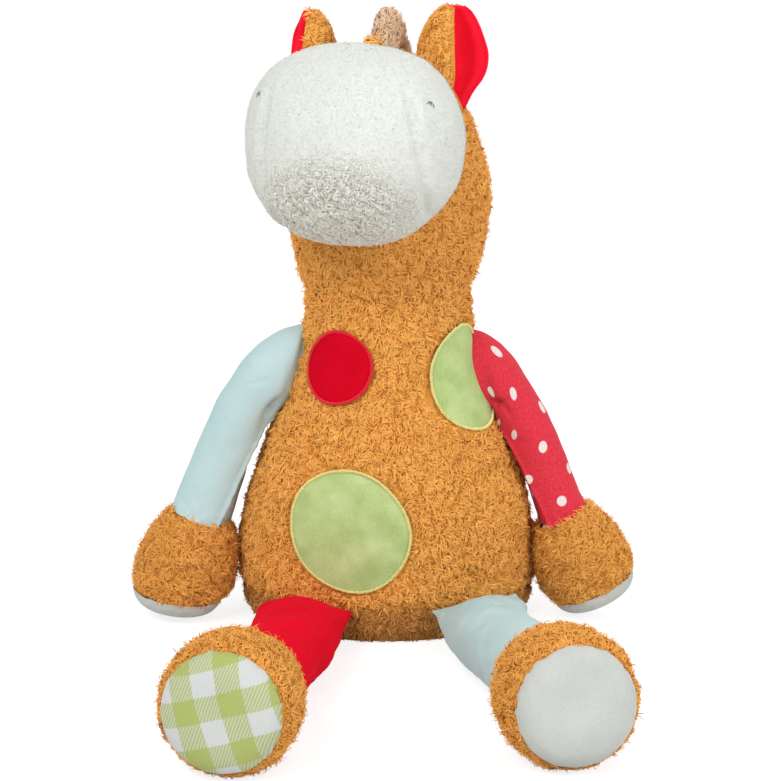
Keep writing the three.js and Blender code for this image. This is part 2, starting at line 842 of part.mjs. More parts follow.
function arm(side) {
  const { name, hand, armSpread, armShares, armTurns, handLean } = side;
  const { point, outward, upward } = shoulderOf(side);
  const depthWise = yAxis.clone().multiplyScalar(-hand);
  const root = {
    centre: point.clone().addScaledVector(outward, gap),
    across: upward.clone().multiplyScalar(shoulderRootHalfHeight),
    along: depthWise.clone().multiplyScalar(shoulderRootHalfDepth),
  };
  const ribs = armShares.map(([spread, drop, chord, depth], k) => ({
    centre: point.clone().add(new THREE.Vector3(hand * spread * armSpread, -drop * armForward, -drop * armDrop)),
    across: new THREE.Vector3(hand * Math.sin(armTurns[k]), 0, Math.cos(armTurns[k]))
      .multiplyScalar(chord * armRadius),
    along: depthWise.clone().multiplyScalar(depth * armRadius),
  }));
  ribs.unshift(root);
  const hoof = hoofAt(
    ribs.at(-1).centre,
    new THREE.Vector3(hand * Math.sin(handLean), 0, -Math.cos(handLean)),
    new THREE.Vector3(hand * Math.cos(handLean), 0, Math.sin(handLean)),
    handLength,
    handRadius,
    handSoleRadius,
    handSoleRise,
    side.handBend,
  );
  ribs.push(squareTo(hoof, ribs.pop()));
  const sleeve = cover(ribRings(ribs, 0, limbSides), ribRings(ribs, velourWall, limbSides));
  return assembly(`${name}_arm`, point, outward.clone().multiplyScalar(-hand), [
    part(`${name}_arm_sleeve`, sleeve, side.sleeveColour),
    part(`${name}_hand_fur`, hoofFur(hoof), ochre),
    part(`${name}_hand_sole`, hoofSole(hoof), offWhite),
    part(`${name}_arm_stuffing`, limbFilling(ribs, hoof), fibreWhite),
  ]);
}

// The legs are pinched flat where they are sewn into the seam between torso and seat panel
function hipOf({ hand, hipAside }) {
  const { point, normal } = trunkFront(hand * hipAside, seatSeamHeight);
  const outward = new THREE.Vector3(normal.x, normal.y, 0).normalize();
  const reach = trunkReach(outward, seatSeamHeight) + hipGap;
  return {
    pivot: point.addScaledVector(outward, reach - point.dot(outward)),
    outward,
    turn: Math.atan2(Math.abs(outward.x), -outward.y),
  };
}

function leg(side) {
  const { name, hand, footTurn } = side;
  const { pivot, outward, turn } = hipOf(side);
  const ankle = new THREE.Vector3(hand * side.ankleAside, -side.ankleForward, ankleHeight);
  const level = (angle) => new THREE.Vector3(Math.cos(angle), hand * Math.sin(angle), 0);
  const root = {
    centre: pivot.clone().addScaledVector(outward, hipReach),
    across: level(turn).multiplyScalar(hipHalfWidth),
    along: zAxis.clone().multiplyScalar(hipPinch),
  };
  const ribs = legShares.map(([forward, aside, rise, width, height, twist]) => ({
    centre: new THREE.Vector3(
      THREE.MathUtils.lerp(pivot.x, ankle.x, aside),
      THREE.MathUtils.lerp(pivot.y, ankle.y, forward),
      THREE.MathUtils.lerp(pivot.z, ankle.z, rise),
    ),
    across: level(THREE.MathUtils.lerp(footTurn, turn, twist)).multiplyScalar(width * legHalfWidth),
    along: zAxis.clone().multiplyScalar(height * legHalfHeight),
  }));
  const direction = new THREE.Vector3(
    hand * Math.sin(footTurn) * Math.cos(footTilt),
    -Math.cos(footTurn) * Math.cos(footTilt),
    Math.sin(footTilt),
  );
  const hoof = hoofAt(
    ankle,
    direction,
    level(footTurn),
    footLength,
    footRadius,
    footSoleRadius,
    footSoleRise,
  );
  ribs.push(squareTo(hoof, ribs.pop()));
  const sleeve = cover(
    ribRings([root, ...ribs], 0, limbSides),
    ribRings(ribs, velourWall, limbSides),
    true,
  );
  const foot = solid(hoofFur(hoof)).intersect(slab(0, crownHeight));
  const fillingStart = betweenRibs(ribs[0], ribs[1], hipFillingShare);
  return assembly(`${name}_leg`, pivot, outward.clone().cross(zAxis), [
    part(`${name}_leg_sleeve`, sleeve, side.legColour),
    part(`${name}_foot_fur`, shape(foot), ochre),
    part(`${name}_foot_sole`, hoofSole(hoof), side.footSoleColour),
    part(`${name}_leg_stuffing`, limbFilling([fillingStart, ...ribs.slice(1)], hoof), fibreWhite),
  ]);
}

function tail() {
  const back = trunkReach(yAxis, tailRootHeight) + hipGap;
  const pivot = new THREE.Vector3(0, back, tailRootHeight);
  const places = [[0, 0, tailRootRadius / tailRadius], ...tailShares];
  const spine = places.map(([reach, drop]) => (
    new THREE.Vector3(0, back + hipReach + reach * tailReach, tailRootHeight - drop * tailDrop)
  ));
  const ribs = places.map(([, , radius], k) => {
    const before = spine[Math.max(k - 1, 0)];
    const after = spine[Math.min(k + 1, spine.length - 1)];
    const outward = xAxis.clone().cross(after.clone().sub(before)).normalize();
    return {
      centre: spine[k],
      across: xAxis.clone().multiplyScalar(radius * tailRadius),
      along: outward.multiplyScalar(radius * tailRadius),
    };
  });
  return assembly('tail_root', pivot, xAxis, [
    part('tail', loft(ribRings(ribs, 0, maneSides)), beige),
  ]);
}

// The whole toy

function head() {
  const group = assembly('head', neckPivot, xAxis, [
    ...headPieces(),
    mane(),
    ...sides.map(eyeStitch),
  ]);
  for (const side of sides) {
    const flap = ear(side);
    flap.position.sub(neckPivot);
    group.add(flap);
  }
  return group;
}

const horse = new THREE.Group();
horse.name = 'plush_horse';
horse.add(
  ...torsoPieces(),
  ...patchPieces('chest_patch', chestPatchAside, chestPatchShare, chestPatchRadius, scarlet, redThread),
  ...patchPieces('side_patch', sidePatchAside, sidePatchShare, sidePatchRadius, leafGreen, limeThread),
  ...patchPieces('belly_patch', bellyPatchAside, bellyPatchShare, bellyPatchRadius, leafGreen, limeThread),
  head(),
  ...sides.map(arm),
  ...sides.map(leg),
  tail(),
);

export default horse;
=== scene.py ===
"""A sitting plush horse: curly ochre coat, cream muzzle, cloth sleeves and stitched felt patches."""
import math

import bpy
import numpy as np
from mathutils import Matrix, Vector
from mathutils.bvhtree import BVHTree


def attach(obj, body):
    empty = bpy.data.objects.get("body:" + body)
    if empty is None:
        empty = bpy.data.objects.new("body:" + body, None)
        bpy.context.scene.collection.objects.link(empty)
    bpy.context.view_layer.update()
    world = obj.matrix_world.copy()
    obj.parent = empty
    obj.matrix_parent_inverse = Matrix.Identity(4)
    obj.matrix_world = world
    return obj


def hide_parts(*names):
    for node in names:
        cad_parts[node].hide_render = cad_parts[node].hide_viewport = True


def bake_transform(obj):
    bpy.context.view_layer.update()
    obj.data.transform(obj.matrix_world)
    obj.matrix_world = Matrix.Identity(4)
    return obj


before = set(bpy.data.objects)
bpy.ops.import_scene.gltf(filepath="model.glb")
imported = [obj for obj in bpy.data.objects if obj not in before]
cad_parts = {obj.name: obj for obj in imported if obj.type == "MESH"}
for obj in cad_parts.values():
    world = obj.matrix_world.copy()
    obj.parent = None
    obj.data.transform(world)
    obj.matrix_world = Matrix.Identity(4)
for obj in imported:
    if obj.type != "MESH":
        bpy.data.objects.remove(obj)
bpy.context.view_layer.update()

MM = 0.001
MM2_PER_CM2 = 100

# The forms are laid out in millimetres, in the frame of the solids. A mesh is made in metres.

# Trunk sections: height, half width, half depth
TRUNK = np.array([
    (0.0, 82.8, 63.1), (6.2, 87.4, 65.9), (20.8, 91.4, 68.0), (45.8, 92.0, 69.0), (77.0, 86.9, 67.8),
    (108.2, 77.4, 61.8), (141.4, 63.6, 53.0), (174.7, 53.9, 47.7), (208.0, 51.8, 45.0), (228.3, 56.5, 47.2),
    (264.0, 62.0, 50.0), (290.1, 58.7, 49.0), (317.0, 47.3, 43.0), (335.0, 35.1, 33.5), (347.9, 18.9, 19.0),
    (352.8, 5.0, 5.0),
])
TRUNK_HEIGHTS = TRUNK[:, 0]
# Heights under and over which the trunk's rows lie closer, for its rounded foot and crown
FOOT_ROUNDS = 24.0
CROWN_ROUNDS = 335.0
NECK_SEAM = 208.0
SEAT_SEAM = 21.0
CROWN = 353.0
# Heights between which the neck's strip of curls lies, between the torso and the head
NECK_BEND = (186.0, 230.0)
# Height that parts the coat's curls into lower and upper pieces
WAIST = 95.0
# How far the cloth lies under the reach of its curls, and their usual density, length and width
COAT_DEPTH = 2.1
CURLS_PER_CM2 = 88.0
CURL_LENGTH = 4.6
CURL_WIDTH = 0.66
# The pile's clumps, the same in the cloth and in the curls on it
CLUMP_SIZE = 9.0
CLUMP_SEED = 5

# The face ball's middle, and its half width, half depth and half height
MUZZLE_CENTRE = np.array((-18.8, -60.0, 303.6))
MUZZLE_SIZE = np.array((65.0, 56.0, 59.2))
# How far the face's cloth lies under the reach of its pile
MUZZLE_DEPTH = 1.1
# Over 1 rounds the ball's corners out, towards a square
MUZZLE_FULLNESS = 1.18
FACE_TURN = math.radians(-14)
FACE_ACROSS = np.array((math.cos(FACE_TURN), math.sin(FACE_TURN), 0.0))
FACE_FORWARD = np.array((math.sin(FACE_TURN), -math.cos(FACE_TURN), 0.0))
UP = np.array((0.0, 0.0, 1.0))
DOWN = -UP

SHOULDER_HEIGHT = 158.9
SHOULDER_ASIDE = 52.6
SHOULDER_FORWARD = 3.0
SHOULDER_TILT = math.radians(13)
# Half height and half depth of the place under a sleeve's root where the coat and the patches stop
SLEEVE_COVERS = (20.0, 10.0)
# It ends this far inside the shoulder
SLEEVE_COVERS_IN = 14.0
ARM_DROP = 94.0
ARM_FORWARD = 9.0
ARM_RADIUS = 18.0

# Each side of the toy: hand -1 is its right, on the viewer's left. Angles are in degrees.
# arm_shares: how far aside and down each rib of a sleeve is, and its half chord and half depth, as shares of
# arm_spread, ARM_DROP and ARM_RADIUS; arm_turns: how far each rib is turned from upright.
# hand_size, as FOOT_SIZE: length, radius, radius of the sole and rise of the sole.
# root_inward: how much narrower the leg's root is on its outer side, where it goes round the seat.
SIDES = {
    "right": dict(
        hand=-1, arm_spread=62.0, hand_lean=18.5, hand_bend=-10.0, hand_size=(53.5, 31.6, 27.8, 11.5),
        root_sinks=2.6, root_height=27.4, root_depth=11.5,
        arm_shares=[
            (0.26, 0.0726, 1.515, 1.11), (0.438, 0.169, 1.314, 1.05), (0.584, 0.333, 1.178, 1.0),
            (0.723, 0.532, 1.097, 0.965), (0.868, 0.776, 1.068, 0.98), (1.0, 1.0, 1.105, 1.083),
        ],
        arm_turns=(-3, 13, 30, 50, 68, 71.5), root_inward=5.0, hip=50.0, ankle=(73.7, 212.5), foot_turn=11.0,
        sleeve="pale_blue_velour", sleeve_slot="pale_blue_velour",
        leg="scarlet_velour", foot_sole="gingham_cotton",
        sleeve_seed=61, hand_seed=500, leg_seed=71, foot_seed=540,
        ear_foot=(49.5, 10.0), ear_opening=180.0, ear_height=60.0, ear_radius=18.6, ear_lean=1.0,
    ),
    "left": dict(
        hand=1, arm_spread=56.0, hand_lean=24.0, hand_bend=0.0, hand_size=(50.5, 30.0, 26.6, 11.0),
        root_sinks=5.5, root_height=26.0, root_depth=17.0,
        arm_shares=[
            (0.24, 0.0885, 1.39, 1.1), (0.382, 0.19, 1.25, 1.03), (0.528, 0.3405, 1.05, 0.97),
            (0.691, 0.532, 0.927, 0.93), (0.826, 0.751, 0.873, 0.92), (1.0, 1.0, 0.9, 0.98),
        ],
        arm_turns=(-3, 11, 28, 50, 65, 66), root_inward=1.0, hip=56.0, ankle=(86.2, 204.0), foot_turn=12.0,
        sleeve="dotted_cotton", sleeve_slot="dotted_red_cotton",
        leg="pale_blue_velour", foot_sole="off_white_velour",
        sleeve_seed=65, hand_seed=520, leg_seed=75, foot_seed=560,
        ear_foot=(43.5, -2.0), ear_opening=-15.0, ear_height=64.0, ear_radius=24.5, ear_lean=5.0,
    ),
}
LEG_HALF_WIDTH = 26.0
LEG_HALF_HEIGHT = 22.0
LEG_ROOT_HALF_WIDTH = 31.5
LEG_ROOT_SINKS = 3.0
ANKLE_HEIGHT = 31.5
FOOT_TILT = math.radians(5.5)
# Hoof: length, radius, radius and rise of its sole
FOOT_SIZE = (66.0, 38.0, 33.0, 11.0)
# Ribs of a leg: shares of the way to the ankle forward, aside and up, of its half width and half height, and
# of the hip's turn
LEG_SHARES = [
    (0.08, 0.02, 0.02, 1.12, 0.34, 0.5), (0.23, 0.09, 0.04, 1.05, 0.73, 0.27),
    (0.425, 0.23, 0.11, 1.02, 0.9, 0.0), (0.645, 0.5, 0.345, 0.977, 0.977, 0.0),
    (0.84, 0.76, 0.69, 0.915, 1.0, 0.0), (1.0, 1.0, 1.0, 0.8, 0.955, 0.0),
]
# Rows of a hoof: share of its length and of its radius
HOOF_SHARES = [(0.0, 0.62), (0.16, 0.79), (0.45, 0.96), (0.8, 1.0), (1.0, 0.9)]
# Rows of an ear: share of its height and of its radius
EAR_SHARES = [(0.0, 0.38), (0.2, 0.74), (0.42, 1.0), (0.62, 0.97), (0.8, 0.79), (0.92, 0.57), (1.0, 0.33)]
# The trough of an ear, in degrees round it from its rear edge to its front edge
EAR_SPAN = (-125.0, 100.0)
EAR_FOOT_HEIGHT = 314.0
EAR_TIPS_IN = 3.0
# Share of an ear's height over which it leans from the head's side
EAR_LEANS_OVER = 0.45
# Rows of the mane: shares of its way forward, its rise, its half height and its half width
MANE_SHARES = [
    (0.45, 0.945, 0.5, 0.75), (0.2, 0.985, 0.95, 1.0), (-0.15, 0.99, 1.0, 1.0), (-0.5, 0.93, 0.72, 0.95),
    (-0.85, 0.77, 0.5, 0.85), (-0.99, 0.5, 0.44, 0.78), (-0.97, 0.22, 0.36, 0.7), (-0.94, 0.11, 0.2, 0.5),
]
MANE_FORWARD = 50.0
MANE_RISE = 145.0
MANE_HALF_WIDTH = 10.5
MANE_HALF_HEIGHT = 24.0
# Rows of the tail: shares of its reach back, its drop and its radius
TAIL_SHARES = [
    (0.0, 0.0, 0.12), (0.42, 0.07, 0.45), (0.8, 0.29, 0.85),
    (1.0, 0.58, 1.0), (1.05, 0.85, 0.8), (0.98, 1.0, 0.28),
]
TAIL_ROOT_BACK = 68.6
TAIL_ROOT_HEIGHT = 80.1
TAIL_REACH = 20.0
TAIL_DROP = 62.0
TAIL_RADIUS = 12.5
# Patch: centre aside, centre height, radius, share by which it is longer one way, and that way in degrees
PATCHES = {
    "chest_patch": (-30.7, 166.0, 22.6, 0.02, 30.0),
    "side_patch": (50.6, 156.6, 31.0, 0.05, 90.0),
    "belly_patch": (-23.5, 69.9, 37.5, 0.04, 135.0),
}
# Patch: its cloth, the slot of the cloth, and its thread
PATCH_CLOTHS = {
    "chest_patch": ("red_felt", "red_felt", "red_thread"),
    "side_patch": ("green_velour", "green_felt", "lime_thread"),
    "belly_patch": ("green_velour", "green_felt", "lime_thread"),
}


# Numbers and surfaces

def unit(v):
    """Vectors made one long."""
    return v / np.maximum(np.linalg.norm(v, axis=-1, keepdims=True), 1e-9)


def field(points, wavelength, seed):
    """A smooth random value from about -1 to 1 at each point."""
    rng = np.random.default_rng(seed)
    directions = unit(rng.normal(size=(9, 3)))
    lengths = wavelength * rng.uniform(0.7, 1.5, 9)
    phases = rng.uniform(0, 2 * math.pi, 9)
    waves = np.cos(points @ (directions / lengths[:, None] * 2 * math.pi).T + phases)
    return waves.sum(-1) / 3.4


def clumps(points, size, seed):
    """Rounded clumps parted by thin creases: 1 on a clump, 0 in a crease."""
    nearest = np.minimum(np.abs(field(points, size, seed)), np.abs(field(points, size * 0.8, seed + 1)))
    return np.clip(nearest * 3.2, 0, 1) ** 0.6


def eased(value):
    """0 below 0, 1 above 1 and a smooth step between."""
    value = np.clip(value, 0, 1)
    return value * value * (3 - 2 * value)


def swung(vector, axis, angle):
    """A vector turned about a unit axis, right-handed."""
    vector, axis = np.asarray(vector, float), np.asarray(axis, float)
    return (
        vector * math.cos(angle) + np.cross(axis, vector) * math.sin(angle)
        + axis * (axis @ vector) * (1 - math.cos(angle))
    )


def fold(points, centre, direction, half_length, half_width):
    """How deep each point lies in a fold: 1 on its line, 0 away from it."""
    direction = unit(np.asarray(direction, float))
    away = points - np.asarray(centre, float)
    run = away @ direction
    aside = np.linalg.norm(away - run[..., None] * direction, axis=-1)
    return np.exp(-((run / half_length) ** 2) - (aside / half_width) ** 2)


def smooth_rows(table, count):
    """A table's rows, drawn through by a smooth curve with even steps in the table."""
    table = np.asarray(table, float)
    padded = np.concatenate([2 * table[:1] - table[1:2], table, 2 * table[-1:] - table[-2:-1]])
    place = np.linspace(0, len(table) - 1, count)
    k = np.minimum(place.astype(int), len(table) - 2)
    t = (place - k).reshape((-1,) + (1,) * (table.ndim - 1))
    a, b, c, d = padded[k], padded[k + 1], padded[k + 2], padded[k + 3]
    return 0.5 * (2 * b + (c - a) * t + (2 * a - 5 * b + 4 * c - d) * t**2 + (3 * b - a - 3 * c + d) * t**3)


class Surface:
    """Rows of points in millimetres, each row a ring or an open line, with outward normals."""

    def __init__(self, points, ring=True, outward_from=None):
        self.points = np.asarray(points, float)
        self.ring = ring
        self.sign = 1.0
        self.refresh()
        if outward_from is None:
            outward_from = self.points.mean(1, keepdims=True)
        if ((self.points - outward_from) * self.normals).sum() < 0:
            self.sign = -1.0
            self.normals = -self.normals

    def refresh(self):
        p = self.points
        if self.ring:
            along_row = np.roll(p, -1, 1) - np.roll(p, 1, 1)
        else:
            along_row = np.gradient(p, axis=1)
        self.normals = self.sign * unit(np.cross(along_row, np.gradient(p, axis=0)))

    def pushed(self, distance):
        """The same surface, moved along its normals by a distance or one per point."""
        amount = np.asarray(distance, float)
        if amount.ndim:
            amount = amount[..., None]
        copy = Surface(self.points + self.normals * amount, self.ring)
        copy.sign = self.sign
        copy.refresh()
        return copy

    def cloth(self):
        """Cloth coordinates round and along the rows, laid from a quarter turn, which is a sleeve's front."""
        p = self.points
        rows, columns = p.shape[:2]
        steps = np.linalg.norm(np.diff(p[:, columns // 4], axis=0), axis=-1)
        along = np.concatenate([[0], np.cumsum(steps)])
        girth = np.linalg.norm(np.roll(p, -1, 1) - p, axis=-1)
        u = np.concatenate([np.zeros((rows, 1)), np.cumsum(girth, 1)], 1)
        v = np.repeat(along[:, None], columns + 1, 1)
        return np.stack([u - u[:, columns // 4, None], v], -1)

    def scatter(self, per_cm2, seed, keep=None):
        """Even random places: their points and normals. keep chooses among the points."""
        rng = np.random.default_rng(seed)
        p, n = self.points, self.normals
        if self.ring:
            p = np.concatenate([p, p[:, :1]], 1)
            n = np.concatenate([n, n[:, :1]], 1)
        a, b, c, d = p[:-1, :-1], p[:-1, 1:], p[1:, 1:], p[1:, :-1]
        halves = np.cross(b - a, d - a), np.cross(b - c, d - c)
        area = (np.linalg.norm(halves[0], axis=-1) + np.linalg.norm(halves[1], axis=-1)) / 2
        total = area.sum()
        count = int(total / MM2_PER_CM2 * per_cm2)
        marks = (np.arange(count) + rng.uniform(size=count)) / count * total
        cell = np.minimum(np.searchsorted(np.cumsum(area.ravel()), marks), area.size - 1)
        i, j = np.unravel_index(cell, area.shape)
        s, t = rng.uniform(size=(2, count, 1))
        corners = [(i, j), (i, j + 1), (i + 1, j + 1), (i + 1, j)]
        weights = [(1 - s) * (1 - t), s * (1 - t), s * t, (1 - s) * t]
        points = sum(weight * p[corner] for weight, corner in zip(weights, corners))
        normals = unit(sum(weight * n[corner] for weight, corner in zip(weights, corners)))
        if keep is not None:
            chosen = keep(points)
            points, normals = points[chosen], normals[chosen]
        return points, normals


def ring_rows(centres, across, along, sides):
    """Elliptical rings round centres, one per row."""
    angle = np.arange(sides) * 2 * math.pi / sides
    return (
        centres[:, None]
        + across[:, None] * np.cos(angle)[None, :, None]
        + along[:, None] * np.sin(angle)[None, :, None]
    )


# Meshes

def point_numbers(rows, columns, ring):
    """Numbers of the points in rows, a ring's first repeated at its end."""
    index = np.arange(rows * columns).reshape(rows, columns)
    if ring:
        index = np.concatenate([index, index[:, :1]], 1)
    return index


def grid_faces(index):
    """The faces between rows of point numbers."""
    return np.stack([index[:-1, :-1], index[:-1, 1:], index[1:, 1:], index[1:, :-1]], -1).reshape(-1, 4)


def make_mesh(name, points, quads, material, tris=(), cloth=None, tone=None):
    """A smooth mesh piece from arrays of points in millimetres and faces."""
    quads = np.asarray(quads, np.int32).reshape(-1, 4)
    tris = np.asarray(tris, np.int32).reshape(-1, 3)
    mesh = bpy.data.meshes.new(name)
    mesh.vertices.add(len(points))
    mesh.vertices.foreach_set("co", (np.asarray(points, float) * MM).astype(np.float32).ravel())
    mesh.loops.add(quads.size + tris.size)
    mesh.loops.foreach_set("vertex_index", np.concatenate([quads.ravel(), tris.ravel()]))
    mesh.polygons.add(len(quads) + len(tris))
    starts = np.concatenate([np.arange(len(quads)) * 4, quads.size + np.arange(len(tris)) * 3])
    mesh.polygons.foreach_set("loop_start", starts.astype(np.int32))
    if cloth is not None:
        layer = mesh.uv_layers.new(name="cloth")
        layer.data.foreach_set("uv", np.asarray(cloth, np.float32).ravel())
    if tone is not None:
        attribute = mesh.attributes.new("tone", "FLOAT", "POINT")
        attribute.data.foreach_set("value", np.asarray(tone, np.float32).ravel())
    mesh.update(calc_edges=True)
    mesh.validate()
    mesh.polygons.foreach_set("use_smooth", np.ones(len(mesh.polygons), bool))
    mesh.materials.append(material)
    piece = bpy.data.objects.new(name, mesh)
    bpy.context.scene.collection.objects.link(piece)
    return piece


def skin_piece(name, surface, material, close_start=False, close_end=False, wall=None):
    """A surface as a piece: its rows joined by faces, an end closed by a fan, and the cloth given a wall."""
    p = surface.points
    rows, columns = p.shape[:2]
    index = point_numbers(rows, columns, surface.ring)
    quads = grid_faces(index)
    points = p.reshape(-1, 3)
    uv = surface.cloth()
    corners = np.stack([uv[:-1, :-1], uv[:-1, 1:], uv[1:, 1:], uv[1:, :-1]], 2)
    if not surface.ring:
        corners = corners[:, :columns - 1]
    loops = corners.reshape(-1, 2)
    tris, tri_uv = [], []
    for close, row, flip in ((close_start, 0, True), (close_end, rows - 1, False)):
        if close:
            tip, ring = len(points), index[row]
            points = np.concatenate([points, p[row].mean(0)[None]])
            fan = np.stack([ring[:-1], ring[1:], np.full(columns, tip)], -1)
            fan_uv = np.stack([uv[row, :-1], uv[row, 1:], (uv[row, :-1] + uv[row, 1:]) / 2], 1)
            if flip:
                fan, fan_uv = fan[:, [1, 0, 2]], fan_uv[:, [1, 0, 2]]
            tris.append(fan)
            tri_uv.append(fan_uv)
    tris = np.concatenate(tris) if tris else np.zeros((0, 3), int)
    tri_uv = np.concatenate(tri_uv) if tri_uv else np.zeros((0, 3, 2))
    if surface.sign < 0:
        quads, tris, tri_uv = quads[:, ::-1], tris[:, ::-1], tri_uv[:, ::-1]
        loops = loops.reshape(-1, 4, 2)[:, ::-1].reshape(-1, 2)
    cloth = np.concatenate([loops, tri_uv.reshape(-1, 2)])
    piece = make_mesh(name, points, quads, material, tris, cloth)
    if wall:
        modifier = piece.modifiers.new("wall", "SOLIDIFY")
        modifier.thickness = wall * MM
        modifier.offset = -1.0
    return piece


# Highest point of a strand that lies over, as a share of its length
ARCH = 0.36
# A stray strand is longer than its neighbours and stands up more
STRAY_LENGTH = 1.35
STRAY_STAND = 0.4
# No strand reaches below this height
FLOOR_CLEARS = 0.15


def strands(roots, normals, length, width, lift, wave, flow, spread, seed,
            segments=2, tuft=8.0, clump=CLUMP_SIZE, contrast=1.0, strays=0.0):
    """Curly half-round strands in clumps. Returns points, quads and tones.

    lift 0 lays a strand over in an arch, 1 stands it up; wave is how far it curls; flow is the way the nap
    lies; spread is how far strands turn from it, in places about as large as tuft; contrast sets how much
    painted shade darkens the strands in the creases between the clumps; strays is the share of longer strands
    that stick out. The tones are also painted lighter to the tip and darker at the root."""
    rng = np.random.default_rng(seed)
    count = len(roots)
    level = flow - (flow * normals).sum(-1, keepdims=True) * normals
    level = unit(level + 1e-4)
    side = np.cross(normals, level)
    turn = spread * math.pi * (field(roots, tuft, 11) + 0.14 * rng.normal(size=count))
    t = level * np.cos(turn)[:, None] + side * np.sin(turn)[:, None]
    b = np.cross(normals, t)
    s = np.linspace(0, 1, segments + 1)[None, :, None]
    full = clumps(roots, clump, CLUMP_SEED)
    stray = rng.uniform(size=count) < strays
    size = length * rng.uniform(0.75, 1.2, count) * (0.6 + 0.5 * full) * np.where(stray, STRAY_LENGTH, 1.0)
    size = size[:, None, None]
    stand = np.clip(lift + 0.14 * rng.normal(size=count) + STRAY_STAND * stray, 0, 1)[:, None, None]
    phase = rng.uniform(0, 1, (count, 1, 1))
    turns = rng.uniform(0.5, 1.0, (count, 1, 1))
    arch = np.sin(math.pi * np.clip(0.1 + 0.88 * s, 0, 1)) * ARCH
    up = (1 - stand) * arch + stand * s**0.85 * 0.85
    sway = np.sin(2 * math.pi * (s * turns + phase)) - np.sin(2 * math.pi * phase)
    curl = np.cos(2 * math.pi * (s * turns + phase)) - np.cos(2 * math.pi * phase)
    n = normals[:, None]
    centre = (
        roots[:, None]
        + t[:, None] * size * (s * (1 - 0.55 * stand) + wave * 0.5 * curl)
        + n * size * up
        + b[:, None] * size * wave * sway
    )
    tangent = unit(np.gradient(centre, axis=1))
    across = unit(np.cross(tangent, n + 0.35 * b[:, None]))
    over = np.cross(across, tangent)
    profile = np.interp(s[0, :, 0], (0, 0.3, 0.7, 1), (0.8, 1.0, 0.85, 0.2))[None, :, None]
    half = width * rng.uniform(0.7, 1.25, (count, 1, 1)) * profile / 2
    points = np.stack([centre - across * half, centre + over * half * 0.9, centre + across * half], 2)
    base = (np.arange(count) * (segments + 1) * 3)[:, None, None]
    ring = base + (np.arange(segments) * 3)[None, :, None] + np.arange(2)[None, None, :]
    quads = np.stack([ring, ring + 1, ring + 4, ring + 3], -1)
    tone = 0.5 + 0.07 * rng.normal(size=count) + 0.06 * field(roots, 14.0, 3)
    # Painted shade: strands in the creases between the clumps are darker
    tone = tone + 0.62 * contrast * (full - 0.72)
    # Painted light: lighter to the tip, and painted shade darker at the root
    tone = np.clip(tone[:, None, None] + 0.2 * (s - 0.45), 0, 1) + np.zeros((1, 1, 3))
    points[..., 2] = np.maximum(points[..., 2], FLOOR_CLEARS)
    return points.reshape(-1, 3), quads.reshape(-1, 4), tone.reshape(-1)


def vertex_rows(mesh, key):
    """A mesh's points or normals, one to a row."""
    values = np.zeros(len(mesh.vertices) * 3, np.float32)
    mesh.vertices.foreach_get(key, values)
    return values.reshape(-1, 3)


def strand_piece(name, material, made):
    """A piece of strands."""
    points, quads, tone = made
    return make_mesh(name, points, quads, material, tone=tone)


# Materials

class Wiring:
    """Adds nodes to a tree and links them as it goes: a value is a socket, a number or a colour."""

    def __init__(self, tree):
        self.tree = tree

    def put(self, socket, value):
        if isinstance(value, bpy.types.NodeSocket):
            self.tree.links.new(value, socket)
        elif value is not None:
            socket.default_value = value

    def node(self, kind, inputs=(), **settings):
        made = self.tree.nodes.new(kind)
        for key, value in settings.items():
            setattr(made, key, value)
        for key, value in dict(inputs).items():
            self.put(made.inputs[key], value)
        return made

    def math(self, operation, a, b=None, c=None):
        made = self.node("ShaderNodeMath", operation=operation)
        for socket, value in zip(made.inputs, (a, b, c)):
            self.put(socket, value)
        return made.outputs[0]

    def mix(self, share, a, b, blend="MIX"):
        made = self.node("ShaderNodeMix", data_type="RGBA", blend_type=blend)
        self.put(made.inputs[0], share)
        self.put(made.inputs[6], a)
        self.put(made.inputs[7], b)
        return made.outputs[2]

    def remap(self, value, low, high, to_low, to_high, smooth=False):
        made = self.node("ShaderNodeMapRange", interpolation_type="SMOOTHSTEP" if smooth else "LINEAR")
        for socket, v in zip(made.inputs, (value, low, high, to_low, to_high)):
            self.put(socket, v)
        return made.outputs[0]

    def noise(self, vector, scale, detail=2.0):
        made = self.node("ShaderNodeTexNoise", {"Vector": vector, "Scale": scale, "Detail": detail})
        return made.outputs["Fac"]


def effect(name, inputs, outputs, wire):
    """A shader node group that materials share."""
    group = bpy.data.node_groups.new(name, "ShaderNodeTree")
    kinds = {"value": "NodeSocketFloat", "colour": "NodeSocketColor", "vector": "NodeSocketVector"}
    for socket, kind, default in inputs:
        made = group.interface.new_socket(socket, in_out="INPUT", socket_type=kinds[kind])
        if default is not None:
            made.default_value = default
    for socket, kind in outputs:
        group.interface.new_socket(socket, in_out="OUTPUT", socket_type=kinds[kind])
    w = Wiring(group)
    source = group.nodes.new("NodeGroupInput")
    target = group.nodes.new("NodeGroupOutput")
    for socket, value in wire(w, source.outputs).items():
        w.put(target.inputs[socket], value)
    return group


def nap_colour(w, given):
    """Colour of a pile: a tone through three shades, with soft worn patches."""
    patches = w.noise(given["Vector"], given["Patch Scale"])
    worn = w.math("MULTIPLY", w.math("SUBTRACT", patches, 0.5), given["Patchiness"])
    tone = w.math("ADD", given["Tone"], worn)
    low = w.mix(w.remap(tone, 0.0, 0.5, 0.0, 1.0), given["Dark"], given["Middle"])
    return {"Color": w.mix(w.remap(tone, 0.5, 1.0, 0.0, 1.0), low, given["Light"])}


def brushed_pile(w, given):
    """Fine short pile: a soft speckle and its height."""
    fine = w.noise(given["Vector"], given["Scale"], 3.0)
    drift = w.noise(given["Vector"], w.math("MULTIPLY", given["Scale"], 0.035), 2.0)
    height = w.math("ADD", w.math("MULTIPLY", fine, 0.6), w.math("MULTIPLY", drift, 0.4))
    shade = w.remap(drift, 0.3, 0.7, 0.0, 1.0, smooth=True)
    return {"Height": height, "Shade": shade, "Speckle": fine}


